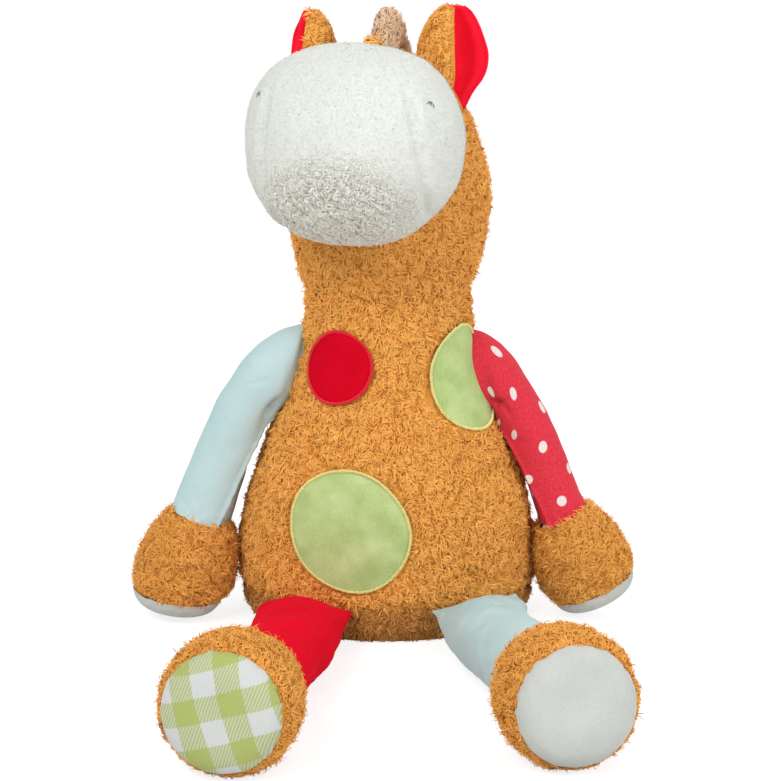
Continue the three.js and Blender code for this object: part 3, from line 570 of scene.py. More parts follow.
def plain_weave(w, given):
    """Over and under threads of a woven cloth, from cloth coordinates."""
    parts = w.node("ShaderNodeSeparateXYZ", {0: given["Vector"]})
    turn = w.math("DIVIDE", 2 * math.pi, given["Pitch"])
    warp = w.math("SINE", w.math("MULTIPLY", parts.outputs[0], turn))
    weft = w.math("SINE", w.math("MULTIPLY", parts.outputs[1], turn))
    height = w.remap(w.math("MULTIPLY", warp, weft), -1.0, 1.0, 0.0, 1.0)
    slub = w.noise(given["Vector"], w.math("DIVIDE", 0.5, given["Pitch"]), 3.0)
    return {"Height": height, "Slub": slub}


def round_dots(w, given):
    """Dots on a slanted lattice of cloth coordinates, with a soft and slightly ragged edge."""
    def from_dot(way):
        turned = w.node(
            "ShaderNodeVectorMath", {0: given["Vector"], 1: given[way + " Axis"]}, operation="DOT_PRODUCT")
        place = w.math("SUBTRACT", turned.outputs["Value"], given[way + " Shift"])
        step = w.node("ShaderNodeVectorMath", {0: given[way + " Step"]}, operation="SCALE")
        w.put(step.inputs["Scale"], w.math("SUBTRACT", place, w.math("ROUND", place)))
        return step.outputs[0]

    away = w.node("ShaderNodeVectorMath", {0: from_dot("Row"), 1: from_dot("Column")}, operation="ADD")
    distance = w.node("ShaderNodeVectorMath", {0: away.outputs[0]}, operation="LENGTH").outputs["Value"]
    ragged = w.math("MULTIPLY", w.math("SUBTRACT", w.noise(given["Vector"], 1.4), 0.5), 0.8)
    blur = 0.25
    outer, inner = w.math("ADD", given["Radius"], blur), w.math("SUBTRACT", given["Radius"], blur)
    return {"Mask": w.remap(w.math("ADD", distance, ragged), outer, inner, 0.0, 1.0)}


def checked_cloth(w, given):
    """Gingham: where both bands cross the dye is full, where one runs it is hatched."""
    wander = w.node("ShaderNodeTexNoise", {"Vector": given["Vector"], "Scale": 0.03, "Detail": 1.0})
    bent = w.node(
        "ShaderNodeVectorMath", {0: wander.outputs["Color"], 1: (4.0, 4.0, 0.0)}, operation="MULTIPLY")
    moved = w.node("ShaderNodeVectorMath", {0: given["Vector"], 1: bent.outputs[0]}, operation="ADD")
    parts = w.node("ShaderNodeSeparateXYZ", {0: moved.outputs[0]})

    def band(value):
        wave = w.math("PINGPONG", w.math("DIVIDE", value, given["Cell"]), 1.0)
        return w.remap(wave, 0.48, 0.52, 0.0, 1.0)

    warp, weft = band(parts.outputs[0]), band(parts.outputs[1])
    over, down = w.math("MULTIPLY", parts.outputs[0], 0.82), w.math("MULTIPLY", parts.outputs[1], -0.57)
    slant = w.math("ADD", over, down)
    hatch = w.math("PINGPONG", w.math("DIVIDE", slant, given["Hatch"]), 1.0)
    hatch = w.remap(hatch, 0.3, 0.62, 0.0, 1.0)
    both = w.math("MULTIPLY", warp, weft)
    one = w.math("SUBTRACT", w.math("MAXIMUM", warp, weft), both)
    return {"Dye": w.math("ADD", both, w.math("MULTIPLY", one, w.remap(hatch, 0.0, 1.0, 0.35, 0.92)))}


NAP = effect("nap_colour", [
    ("Vector", "vector", None), ("Tone", "value", 0.5), ("Dark", "colour", None), ("Middle", "colour", None),
    ("Light", "colour", None), ("Patch Scale", "value", 40.0), ("Patchiness", "value", 0.4),
], [("Color", "colour")], nap_colour)
PILE = effect("brushed_pile", [("Vector", "vector", None), ("Scale", "value", 900.0)],
              [("Height", "value"), ("Shade", "value"), ("Speckle", "value")], brushed_pile)
WEAVE = effect("plain_weave", [("Vector", "vector", None), ("Pitch", "value", 0.7)],
               [("Height", "value"), ("Slub", "value")], plain_weave)
DOTS = effect("round_dots", [
    ("Vector", "vector", None), ("Row Step", "vector", None), ("Column Step", "vector", None),
    ("Row Axis", "vector", None), ("Column Axis", "vector", None), ("Row Shift", "value", 0.0),
    ("Column Shift", "value", 0.0), ("Radius", "value", 3.0),
], [("Mask", "value")], round_dots)
CHECK = effect("checked_cloth", [
    ("Vector", "vector", None), ("Cell", "value", 13.0), ("Hatch", "value", 0.75),
], [("Dye", "value")], checked_cloth)


def new_material(name, roughness, sheen=0.0, sheen_roughness=0.5, sheen_tint=(1, 1, 1, 1), specular=0.2):
    material = bpy.data.materials.new(name)
    material.use_nodes = True
    w = Wiring(material.node_tree)
    shader = material.node_tree.nodes["Principled BSDF"]
    shader.inputs["Roughness"].default_value = roughness
    shader.inputs["Specular IOR Level"].default_value = specular
    shader.inputs["Sheen Weight"].default_value = sheen
    shader.inputs["Sheen Roughness"].default_value = sheen_roughness
    shader.inputs["Sheen Tint"].default_value = sheen_tint
    return material, w, shader


def use(w, group, inputs):
    made = w.node("ShaderNodeGroup", node_tree=group)
    for key, value in inputs.items():
        w.put(made.inputs[key], value)
    return made.outputs


def bump(w, shader, height, distance, strength=1.0):
    made = w.node("ShaderNodeBump", {"Height": height, "Distance": distance, "Strength": strength})
    w.put(shader.inputs["Normal"], made.outputs[0])


def rgba(colour):
    return (*colour, 1.0)


def strand_material(name, dark, middle, light, patch_scale=40.0, patchiness=0.25, sheen=0.15):
    """Material of curls from each strand's tone, which holds painted shade in the creases and a painted
    lighter tip.
    """
    material, w, shader = new_material(name, 0.92, sheen, 0.4, rgba(light))
    place = w.node("ShaderNodeTexCoord").outputs["Object"]
    tone = w.node("ShaderNodeAttribute", attribute_name="tone").outputs["Fac"]
    colour = use(w, NAP, {
        "Vector": place, "Tone": tone, "Dark": rgba(dark), "Middle": rgba(middle), "Light": rgba(light),
        "Patch Scale": patch_scale, "Patchiness": patchiness,
    })["Color"]
    w.put(shader.inputs["Base Color"], colour)
    fuzz = use(w, PILE, {"Vector": place, "Scale": 2200.0})
    bump(w, shader, fuzz["Height"], 0.0002, 0.5)
    return material


def pile_material(name, dark, middle, light, scale=900.0, sheen=0.35, depth=0.0003,
                  patchiness=0.5, patch_scale=35.0):
    """Material of velour, felt and the cloth under the curls."""
    material, w, shader = new_material(name, 0.88, sheen, 0.35, rgba(light), 0.05)
    place = w.node("ShaderNodeTexCoord").outputs["Object"]
    pile = use(w, PILE, {"Vector": place, "Scale": scale})
    tone = w.remap(pile["Speckle"], 0.25, 0.75, 0.3, 0.7)
    colour = use(w, NAP, {
        "Vector": place, "Tone": tone, "Dark": rgba(dark), "Middle": rgba(middle), "Light": rgba(light),
        "Patch Scale": patch_scale, "Patchiness": patchiness,
    })["Color"]
    w.put(shader.inputs["Base Color"], colour)
    w.put(shader.inputs["Roughness"], w.remap(pile["Shade"], 0.0, 1.0, 0.78, 0.95))
    bump(w, shader, pile["Height"], depth)
    return material


def dotted_cotton():
    """Woven red cotton with printed white dots."""
    material, w, shader = new_material("dotted_cotton", 0.85, 0.05, 0.5, specular=0.08)
    cloth = w.node("ShaderNodeUVMap", uv_map="cloth").outputs[0]
    weave = use(w, WEAVE, {"Vector": cloth, "Pitch": 0.9})
    threads = w.mix(weave["Slub"], rgba((0.54, 0.014, 0.032)), rgba((0.84, 0.062, 0.09)))
    dots = use(w, DOTS, {
        "Vector": cloth, "Row Step": DOT_ROW, "Column Step": DOT_COLUMN,
        "Row Axis": DOT_AXES[0], "Column Axis": DOT_AXES[1],
        "Row Shift": DOT_SHIFT[0], "Column Shift": DOT_SHIFT[1], "Radius": DOT_RADIUS,
    })
    ink = w.mix(weave["Slub"], rgba((0.74, 0.64, 0.60)), rgba((0.86, 0.80, 0.77)))
    w.put(shader.inputs["Base Color"], w.mix(dots["Mask"], threads, ink))
    w.put(shader.inputs["Roughness"], w.remap(weave["Slub"], 0.3, 0.7, 0.8, 0.92))
    bump(w, shader, weave["Height"], 0.00012)
    return material


def gingham_cotton():
    """Woven green and white check with a slanting hatch."""
    material, w, shader = new_material("gingham_cotton", 0.85, 0.12, 0.5)
    cloth = w.node("ShaderNodeUVMap", uv_map="cloth").outputs[0]
    weave = use(w, WEAVE, {"Vector": cloth, "Pitch": 0.7})
    dye = use(w, CHECK, {"Vector": cloth, "Cell": GINGHAM_CELL, "Hatch": GINGHAM_HATCH})["Dye"]
    white = w.mix(weave["Slub"], rgba((0.53, 0.545, 0.53)), rgba((0.64, 0.66, 0.65)))
    green = w.mix(weave["Slub"], rgba((0.34, 0.395, 0.105)), rgba((0.43, 0.49, 0.165)))
    w.put(shader.inputs["Base Color"], w.mix(dye, white, green))
    w.put(shader.inputs["Roughness"], w.remap(weave["Slub"], 0.3, 0.7, 0.8, 0.92))
    bump(w, shader, weave["Height"], 0.0001)
    return material


def thread_material(name, dark, light):
    """Shiny embroidery thread, with fine fibres along it."""
    material, w, shader = new_material(name, 0.55, 0.3, 0.3, rgba(light))
    place = w.node("ShaderNodeTexCoord").outputs["Object"]
    fibres = use(w, PILE, {"Vector": place, "Scale": 1800.0})
    w.put(shader.inputs["Base Color"], w.mix(fibres["Speckle"], rgba(dark), rgba(light)))
    w.put(shader.inputs["Roughness"], w.remap(fibres["Speckle"], 0.2, 0.8, 0.45, 0.7))
    bump(w, shader, fibres["Height"], 0.0002)
    return material


# Lattice of the printed dots in the sleeve's cloth coordinates: two steps, and where a dot lies
DOT_ROW = (-15.07, 20.74, 0.0)
DOT_COLUMN = (16.31, 13.52, 0.0)
DOT_DET = DOT_ROW[0] * DOT_COLUMN[1] - DOT_ROW[1] * DOT_COLUMN[0]
DOT_AXES = (
    (DOT_COLUMN[1] / DOT_DET, -DOT_COLUMN[0] / DOT_DET, 0.0),
    (-DOT_ROW[1] / DOT_DET, DOT_ROW[0] / DOT_DET, 0.0),
)
DOT_SHIFT = (1.339, 0.829)
DOT_RADIUS = 3.1
# Gingham: width of a check and of a hatch line, and how the cloth is turned and where it lies on the sole
GINGHAM_CELL = 13.0
GINGHAM_HATCH = 0.82
GINGHAM_TURN = math.radians(15.2)
GINGHAM_CENTRE = (-6.1, 19.8)

# Piles: dark, middle and light shade, then scale, sheen, depth, patchiness and scale of the patches
PILES = {
    "ochre_ground": ((0.48, 0.185, 0.030), (0.66, 0.28, 0.050), (0.78, 0.355, 0.07), 600.0, 0.15, 0.0007),
    # A darker copy of the coat's cloth for the seat: painted shade under the belly
    "seat_plush": ((0.31, 0.115, 0.024), (0.46, 0.19, 0.044), (0.58, 0.26, 0.066), 600.0, 0.2, 0.0006),
    "cream_ground": (
        (0.64, 0.655, 0.59), (0.70, 0.72, 0.67), (0.735, 0.755, 0.715), 900.0, 0.15, 0.0004, 0.2),
    "beige_ground": ((0.46, 0.28, 0.16), (0.62, 0.41, 0.25), (0.72, 0.51, 0.34), 600.0, 0.15, 0.0008),
    "pale_blue_velour": (
        (0.375, 0.53, 0.54), (0.465, 0.625, 0.628), (0.56, 0.71, 0.71), 1100.0, 0.3, 0.00018, 0.55, 30.0),
    "scarlet_velour": (
        (0.56, 0.001, 0.013), (0.76, 0.003, 0.020), (0.88, 0.010, 0.034), 1100.0, 0.2, 0.00018, 0.5, 30.0),
    # A lighter copy of the scarlet velour for the ear linings: painted light
    "ear_velour": (
        (0.76, 0.006, 0.026), (0.95, 0.013, 0.042), (1.0, 0.040, 0.075), 1100.0, 0.2, 0.00018, 0.5, 30.0),
    "off_white_velour": (
        (0.40, 0.415, 0.39), (0.51, 0.525, 0.495), (0.61, 0.625, 0.60), 1100.0, 0.25, 0.00018, 0.9, 35.0),
    "red_felt": (
        (0.44, 0.0005, 0.008), (0.58, 0.001, 0.014), (0.70, 0.004, 0.026), 1300.0, 0.2, 0.0002, 0.5, 60.0),
    "green_velour": (
        (0.30, 0.41, 0.125), (0.435, 0.56, 0.225), (0.58, 0.68, 0.35), 1200.0, 0.3, 0.0002, 1.3, 60.0),
    "fibre_filling": ((0.70, 0.70, 0.67), (0.85, 0.85, 0.82), (0.92, 0.92, 0.90), 300.0, 0.3, 0.0015),
}
# Curls: dark, middle and light shade, then scale of the patches, patchiness and sheen
CURLS = {
    "ochre_curl": ((0.58, 0.23, 0.039), (0.93, 0.435, 0.092), (1.0, 0.57, 0.150)),
    "hoof_curl": ((0.54, 0.21, 0.034), (0.84, 0.385, 0.078), (0.95, 0.515, 0.132)),
    # A darker copy of the coat's curls for the seat: painted shade under the belly
    "seat_curl": ((0.37, 0.145, 0.03), (0.54, 0.24, 0.058), (0.68, 0.34, 0.095)),
    "cream_nap": ((0.64, 0.65, 0.605), (0.70, 0.72, 0.68), (0.73, 0.755, 0.72), 40.0, 0.12, 0.1),
    "cream_tuft": ((0.70, 0.67, 0.56), (0.83, 0.82, 0.74), (0.86, 0.87, 0.81), 40.0, 0.12, 0.1),
    "beige_curl": ((0.56, 0.36, 0.215), (0.76, 0.53, 0.34), (0.88, 0.69, 0.49)),
}
# Threads: dark and light shade
THREADS = {
    "lime_thread": ((0.74, 0.66, 0.19), (0.94, 0.86, 0.42)),
    "red_thread": ((0.66, 0.010, 0.024), (0.92, 0.050, 0.070)),
    "grey_thread": ((0.09, 0.095, 0.11), (0.24, 0.25, 0.28)),
}
MATERIALS = {"dotted_cotton": dotted_cotton(), "gingham_cotton": gingham_cotton()}
for maker, finishes in ((pile_material, PILES), (strand_material, CURLS), (thread_material, THREADS)):
    for finish, values in finishes.items():
        MATERIALS[finish] = maker(finish, *values)


# Forms

def trunk_rows(count=170):
    """Trunk sections in even small steps of height."""
    heights = TRUNK_HEIGHTS
    fine = np.concatenate([
        np.linspace(0, FOOT_ROUNDS, 18)[:-1], np.linspace(FOOT_ROUNDS, CROWN_ROUNDS, count - 36),
        np.linspace(CROWN_ROUNDS, heights[-1], 20)[1:],
    ])
    slopes = np.gradient(TRUNK[:, 1:], heights, axis=0)
    k = np.clip(np.searchsorted(heights, fine, side="right") - 1, 0, len(heights) - 2)
    step = heights[k + 1] - heights[k]
    t = ((fine - heights[k]) / step)[:, None]
    a, b = TRUNK[k, 1:], TRUNK[k + 1, 1:]
    ma, mb = slopes[k] * step[:, None], slopes[k + 1] * step[:, None]
    sizes = (
        (2 * t**3 - 3 * t**2 + 1) * a + (t**3 - 2 * t**2 + t) * ma
        + (3 * t**2 - 2 * t**3) * b + (t**3 - t**2) * mb
    )
    return np.column_stack([fine, sizes])


def trunk_surface(sides=240):
    """The reach of the coat's curls from the seat to the crown, as rings."""
    rows = trunk_rows()
    centres = np.column_stack([np.zeros((len(rows), 2)), rows[:, 0]])
    across = np.zeros((len(rows), 3))
    across[:, 0] = rows[:, 1]
    along = np.zeros((len(rows), 3))
    along[:, 1] = rows[:, 2]
    return Surface(ring_rows(centres, across, along, sides))


def tree_of(surface):
    """A search tree of a surface's faces, in millimetres."""
    rows, columns = surface.points.shape[:2]
    quads = grid_faces(point_numbers(rows, columns, surface.ring))
    return BVHTree.FromPolygons(surface.points.reshape(-1, 3).tolist(), quads.tolist())


def in_muzzle(points, margin=0.0):
    """True where a point is inside the face ball, grown by a margin."""
    away = points - MUZZLE_CENTRE
    across, forward, rise = (np.abs(away @ axis) for axis in (FACE_ACROSS, FACE_FORWARD, UP))
    width, depth, height = MUZZLE_SIZE + margin
    corner = 2 * MUZZLE_FULLNESS
    ring = ((across / width) ** corner + (rise / height) ** corner) ** (1 / MUZZLE_FULLNESS)
    return ring + (forward / depth) ** 2 < 1


def trunk_size_at(z):
    """Half width and half depth of the trunk at a height."""
    return np.interp(z, TRUNK_HEIGHTS, TRUNK[:, 1]), np.interp(z, TRUNK_HEIGHTS, TRUNK[:, 2])


def in_trunk(points, margin=0.0):
    """True where a point is inside the trunk, grown by a margin."""
    width, depth = trunk_size_at(points[..., 2])
    width, depth = np.maximum(width + margin, 1), np.maximum(depth + margin, 1)
    inside = (points[..., 0] / width) ** 2 + (points[..., 1] / depth) ** 2 < 1
    return inside & (points[..., 2] < CROWN + margin)


def shoulder(side):
    """Middle of a sleeve's root, its way out of the trunk and its way up."""
    hand = side["hand"]
    point = np.array((hand * SHOULDER_ASIDE, -SHOULDER_FORWARD, SHOULDER_HEIGHT))
    outward = np.array((hand * math.cos(SHOULDER_TILT), 0.0, math.sin(SHOULDER_TILT)))
    upward = np.array((-hand * math.sin(SHOULDER_TILT), 0.0, math.cos(SHOULDER_TILT)))
    return point, outward, upward


def off_shoulders(points, margin=0.0):
    """True where a point of the trunk isn't under a sleeve's root."""
    half_height, half_depth = SLEEVE_COVERS
    free = np.ones(len(points), bool)
    for side in SIDES.values():
        point, outward, upward = shoulder(side)
        away = points - point
        rise = (away @ upward + side["root_sinks"]) / (half_height + margin)
        aside = away[:, 1] / (half_depth + margin)
        free &= (rise**2 + aside**2 > 1) | (away @ outward < -SLEEVE_COVERS_IN)
    return free


def ear_trough(side, share):
    """An ear's radius, and how far it leans in, at shares of its height."""
    table = smooth_rows(np.array(EAR_SHARES), 200)
    radius = np.interp(share, table[:, 0], table[:, 1]) * side["ear_radius"]
    return radius, share * EAR_TIPS_IN + side["ear_lean"] * (1 - eased(share / EAR_LEANS_OVER))


def off_ears(points):
    """True where a point of the crown isn't under an ear's lining."""
    free = np.ones(len(points), bool)
    for side in SIDES.values():
        share = (points[:, 2] - EAR_FOOT_HEIGHT) / side["ear_height"]
        radius, inward = ear_trough(side, share)
        across = points[:, 0] - side["hand"] * (side["ear_foot"][0] - inward)
        inside = np.hypot(across, points[:, 1] - side["ear_foot"][1]) < radius + 1.0
        free &= ~(inside & (share > 0) & (share < 1))
    return free


def patch_frame(name):
    """A patch's middle, its outward normal, its way to the viewer's right and its way up."""
    aside, height = PATCHES[name][:2]
    width, depth = trunk_size_at(height)
    y = -depth * math.sqrt(1 - (aside / width) ** 2)
    step = 6.0
    above, below = trunk_size_at(height + step), trunk_size_at(height - step)
    widening, deepening = (above[0] - below[0]) / (2 * step), (above[1] - below[1]) / (2 * step)
    rise = -(aside**2) * widening / width**3 - (y**2) * deepening / depth**3
    normal = unit(np.array((aside / width**2, y / depth**2, rise)))
    right = unit(np.cross(UP, normal))
    return np.array((aside, y, height)), normal, right, np.cross(normal, right)


def patch_reach(name, angle):
    """How far a patch reaches from its middle at an angle: it was cut a little longer one way."""
    _, _, radius, longer, way = PATCHES[name]
    stretch = longer * np.cos(2 * (angle - math.radians(way)))
    uneven = 0.008 * np.cos(5 * angle + radius)
    return radius * (1 + stretch + uneven)


def off_patches(points, margin=0.0):
    """True where a point of the trunk isn't under a patch."""
    free = np.ones(len(points), bool)
    for name in PATCHES:
        centre, normal, right, above = patch_frame(name)
        away = points - centre
        x, y = away @ right, away @ above
        reach = patch_reach(name, np.arctan2(y, x)) + margin
        free &= (np.hypot(x, y) > reach) | (away @ normal < -30)
    return free


def hand_axes(side):
    hand, lean = side["hand"], math.radians(side["hand_lean"])
    direction = np.array((hand * math.sin(lean), 0, -math.cos(lean)))
    across = np.array((hand * math.cos(lean), 0, math.sin(lean)))
    return direction, across


def sleeve_ribs(side):
    """Centre, half width and half depth of each rib of an arm, from inside the coat to the cuff."""
    hand = side["hand"]
    point, outward, upward = shoulder(side)
    back = np.array((0, -hand, 0))
    root = point - upward * side["root_sinks"]
    root_depth = side["root_depth"]
    ribs = [
        (root + outward * rise, upward * (side["root_height"] + fuller), back * depth)
        for rise, fuller, depth in ((-9.0, -1.0, root_depth - 2.5), (1.0, 0.0, root_depth), (6.0, 0.0, 18.0))
    ]
    for (spread, drop, chord, depth), turn in zip(side["arm_shares"], side["arm_turns"]):
        angle = math.radians(turn)
        ribs.append((
            point + np.array((hand * spread * side["arm_spread"], -drop * ARM_FORWARD, -drop * ARM_DROP)),
            np.array((hand * math.sin(angle), 0, math.cos(angle))) * chord * ARM_RADIUS,
            back * depth * ARM_RADIUS,
        ))
    return ribs


def hoof_frame(cuff, direction, across, size, bend=0.0):
    """Where a hoof starts, the ways it lies, and its sizes."""
    length, radius, sole_radius, sole_rise = size
    return dict(
        cuff=cuff, direction=direction, across=across, along=unit(np.cross(direction, across)), length=length,
        radius=radius, sole_radius=sole_radius, sole_rise=sole_rise, bend=math.radians(bend),
    )


def hand_frame(side):
    """The hoof of an arm, from its last rib."""
    direction, across = hand_axes(side)
    return hoof_frame(sleeve_ribs(side)[-1][0], direction, across, side["hand_size"], side["hand_bend"])


def hip_frame(side):
    """Middle of a leg's root on the seat's seam, its way out and its turn from straight ahead."""
    hand = side["hand"]
    width, depth = trunk_size_at(SEAT_SEAM)
    x = side["hip"]
    y = -depth * math.sqrt(1 - (x / width) ** 2)
    outward = unit(np.array((hand * x / width**2, y / depth**2, 0)))
    return np.array((hand * x, y, SEAT_SEAM)), outward, math.atan2(abs(outward[0]), -outward[1])


def leg_ribs(side):
    """Centre, half width and half height of each rib of a leg, from the seat to the ankle."""
    hand = side["hand"]
    pivot, outward, turn = hip_frame(side)
    foot_turn = math.radians(side["foot_turn"])
    ankle = np.array((hand * side["ankle"][0], -side["ankle"][1], ANKLE_HEIGHT))

    def level(angle):
        return np.array((math.cos(angle), hand * math.sin(angle), 0))

    # The root is narrower on its outer side, where it goes round the seat
    inward = side["root_inward"]
    root = pivot - outward * LEG_ROOT_SINKS - level(turn) * hand * inward
    ribs = [(root, level(turn) * (LEG_ROOT_HALF_WIDTH - inward), UP * 1.2)]
    for forward, aside, rise, width, height, twist in LEG_SHARES:
        centre = pivot + (ankle - pivot) * np.array((aside, forward, rise))
        angle = foot_turn + (turn - foot_turn) * twist
        ribs.append((centre, level(angle) * width * LEG_HALF_WIDTH, UP * height * LEG_HALF_HEIGHT))
    return ribs


def foot_frame(side):
    """The hoof of a leg, turned out and tilted up a little."""
    hand, foot_turn = side["hand"], math.radians(side["foot_turn"])
    direction = np.array((
        hand * math.sin(foot_turn) * math.cos(FOOT_TILT), -math.cos(foot_turn) * math.cos(FOOT_TILT),
        math.sin(FOOT_TILT),
    ))
    across = np.array((math.cos(foot_turn), hand * math.sin(foot_turn), 0))
    return hoof_frame(leg_ribs(side)[-1][0], direction, across, FOOT_SIZE)


def tube(ribs, rows, sides):
    """A smooth tube through ribs."""
    table = np.array([np.stack(rib) for rib in ribs])
    fine = smooth_rows(table, rows)
    return Surface(ring_rows(fine[:, 0], fine[:, 1], fine[:, 2], sides))


def hoof_surface(hoof, inset, sides=96, rows=44):
    """The bell of a hoof at an inset, from the cuff to the sole."""
    profile = smooth_rows(np.array(HOOF_SHARES), rows)
    size = (profile[:, 1] * hoof["radius"] - inset)[:, None]
    centres = hoof["cuff"] + hoof["direction"] * (profile[:, :1] * hoof["length"])
    across = np.array([swung(hoof["across"], hoof["along"], share * hoof["bend"]) for share in profile[:, 0]])
    return Surface(ring_rows(centres, across * size, hoof["along"] * size, sides))


def sole_surface(hoof, seed, sides=120, rows=30, pucker=0.7):
    """A padded sole: a low dome, drawn in and puckered where it is sewn to the fur."""
    outward = swung(hoof["direction"], hoof["along"], hoof["bend"])
    level = swung(hoof["across"], hoof["along"], hoof["bend"])
    share = np.linspace(1.0, 0.0, rows + 1)[:-1, None] ** 0.7
    # The dome is fuller near its rim than a half ellipse, as a stuffed disc is
    height = hoof["sole_rise"] * (1 - share**4.5) ** 0.55
    angle = np.arange(sides) * 2 * math.pi / sides
    rng = np.random.default_rng(seed)
    lobes = sum(
        rng.uniform(0.3, 1.0) * np.cos(k * angle + rng.uniform(0, 6.28)) for k in (5, 9, 13, 21)
    )[None, :] / 2
    near_rim = np.exp(-(((share - 0.95) / 0.07) ** 2))
    height = height - pucker * near_rim * (0.4 + lobes)
    size = hoof["sole_radius"] * share * (1 + 0.012 * lobes * share**4)
    points = (
        (hoof["cuff"] + hoof["direction"] * (hoof["length"] - 1.0))[None, None]
        + outward * height[..., None]
        + level * (size * np.cos(angle))[..., None]
        + hoof["along"] * (size * np.sin(angle))[..., None]
    )
    points[..., 2] = np.maximum(points[..., 2], 0.2)
    return Surface(points, outward_from=hoof["cuff"])


def ear_surface(side, inset, span=EAR_SPAN, rows=34, columns=40, near=0.0, far=1.0):
    """An ear's trough at an inset from its outside, one or one per column: rows rise to the tip."""
    hand = side["hand"]
    x, y = side["ear_foot"]
    share = near + (far - near) * np.linspace(0, 1, rows)
    radius, inward = ear_trough(side, share)
    radius = radius[:, None] - np.asarray(inset) + np.zeros(columns)
    foot = np.array((hand * x, y, EAR_FOOT_HEIGHT))
    centres = foot + np.outer(share * side["ear_height"], UP) + np.outer(inward, (-hand, 0, 0))
    angle = math.radians(side["ear_opening"]) + math.pi + hand * np.radians(np.linspace(*span, columns))
    arc = np.stack([np.cos(angle), np.sin(angle), np.zeros(columns)], -1)
    points = centres[:, None] + radius[..., None] * arc[None]
    return Surface(points, ring=False, outward_from=centres[:, None])


# Coat, from the seat to the crown

def neck_blend(piece):
    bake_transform(piece)
    return piece


def finish_piece(piece, body, replaced=()):
    """Rides a piece on its body, or keeps a neck piece where it is, and hides the solids it stands for."""
    if body == "neck":
        neck_blend(piece)
    else:
        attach(piece, body)
    if replaced:
        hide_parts(*replaced)
    return piece


def cut_rows(surface, low, high):
    """The rows of the trunk between two heights, both ends included."""
    z = surface.points[:, 0, 2]
    first = max(np.searchsorted(z, low) - 1, 0)
    last = min(np.searchsorted(z, high) + 1, len(z))
    part = Surface(surface.points[first:last].copy(), surface.ring)
    part.normals = surface.normals[first:last]
    part.sign = surface.sign
    return part


def trunk_ground():
    """The cloth under the curls: soft lumps of the filling, clumps of pile, and both seams drawn in."""
    outside = trunk_surface()
    p = outside.points
    height = p[..., 2]
    lumps = 0.9 * field(p, 46.0, 21) + 0.3 * field(p, 17.0, 22)
    lumps = lumps + 2.6 * (clumps(p, CLUMP_SIZE, CLUMP_SEED) - 0.75)
    neck_seam = -1.9 * np.exp(-(((height - NECK_SEAM) / 4.5) ** 2))
    seat_seam = -1.8 * np.exp(-(((height - SEAT_SEAM) / 2.5) ** 2))
    calm = np.clip(height / 10, 0, 1) * np.clip((352 - height) / 10, 0, 1)
    depth = COAT_DEPTH * np.clip(height / 14, 0.1, 1)
    ground = outside.pushed((lumps + neck_seam + seat_seam) * calm - depth)
    ground.points[..., 2] = np.maximum(ground.points[..., 2], 0.2)
    ground.refresh()
    return ground


# Strips of curls: lowest and highest place, body, seed, half of the trunk, and for the seat density, length
# and a darker material that holds painted shade under the belly
COAT_STRIPS = {
    "torso_curls_front_low": (SEAT_SEAM, WAIST, "torso", 101, "front"),
    "torso_curls_back_low": (SEAT_SEAM, WAIST, "torso", 102, "back"),
    "torso_curls_front_high": (WAIST, NECK_BEND[0], "torso", 103, "front"),
    "torso_curls_back_high": (WAIST, NECK_BEND[0], "torso", 104, "back"),
    "neck_curls": (NECK_BEND[0], NECK_BEND[1], "neck", 105, "all"),
    "head_curls_front": (NECK_BEND[1], CROWN, "head", 106, "front"),
    "head_curls_back": (NECK_BEND[1], CROWN, "head", 107, "back"),
    "seat_curls": (0.8, SEAT_SEAM, "torso", 108, "all", 76.0, 3.8, "seat_curl"),
}


def coat_strip(ground, name, low, high, body, seed, half,
               per_cm2=CURLS_PER_CM2, length=CURL_LENGTH, shade="ochre_curl"):
    """A strip of the coat's curls, which are shorter near the sleeves' roots and the patches."""
    def here(q):
        this_half = {"front": q[:, 1] < 0, "back": q[:, 1] >= 0, "all": True}[half]
        covered = in_muzzle(q, -2.0) | ~off_shoulders(q) | ~off_patches(q, 1.6) | ~off_ears(q)
        return (q[:, 2] >= low) & (q[:, 2] < high) & this_half & ~covered

    roots, normals = cut_rows(ground, low, high).scatter(per_cm2, seed, here)
    short = np.where(off_shoulders(roots, 10.0), 1.0, 0.8) * np.where(off_patches(roots, 5.0), 1.0, 0.6)
    made = strands(
        roots, normals, length * short, CURL_WIDTH, 0.2, 0.13, DOWN, 0.85, seed, contrast=0.9, strays=0.07)
    finish_piece(strand_piece(name, MATERIALS[shade], made), body)


def coat_pieces(ground):
    """The cloth of torso, seat and head, and the curls on it."""
    torso = skin_piece("torso_coat", cut_rows(ground, SEAT_SEAM, NECK_SEAM), MATERIALS["ochre_ground"])
    finish_piece(torso, "neck", ["torso_fur"])
    # The seat's cloth is a darker copy of the coat's: painted shade under the belly
    seat = skin_piece(
        "seat_panel_cloth", cut_rows(ground, 0, SEAT_SEAM), MATERIALS["seat_plush"], close_start=True)
    finish_piece(seat, "torso", ["seat_panel"])
    head = skin_piece(
        "head_coat", cut_rows(ground, NECK_SEAM, CROWN), MATERIALS["ochre_ground"], close_end=True)
    finish_piece(head, "neck", ["head_fur"])
    for name, strip in COAT_STRIPS.items():
        coat_strip(ground, name, *strip)


# Patches

def patch_layer(name, trunk_tree):
    """A function that lays a place of a patch on the trunk: x and y from its middle, and its lift."""
    centre, normal, right, above = patch_frame(name)
    start_out, reach = 30, 80

    def laid(x, y, lift):
        start = centre + right * x + above * y + normal * start_out
        hit, face_normal, _, _ = trunk_tree.ray_cast(Vector(start), Vector(-normal), reach)
        if hit is None:
            return None, None
        out = np.array(face_normal)
        if out @ normal < 0:
            out = -out
        return np.array(hit) + out * lift, out

    return laid


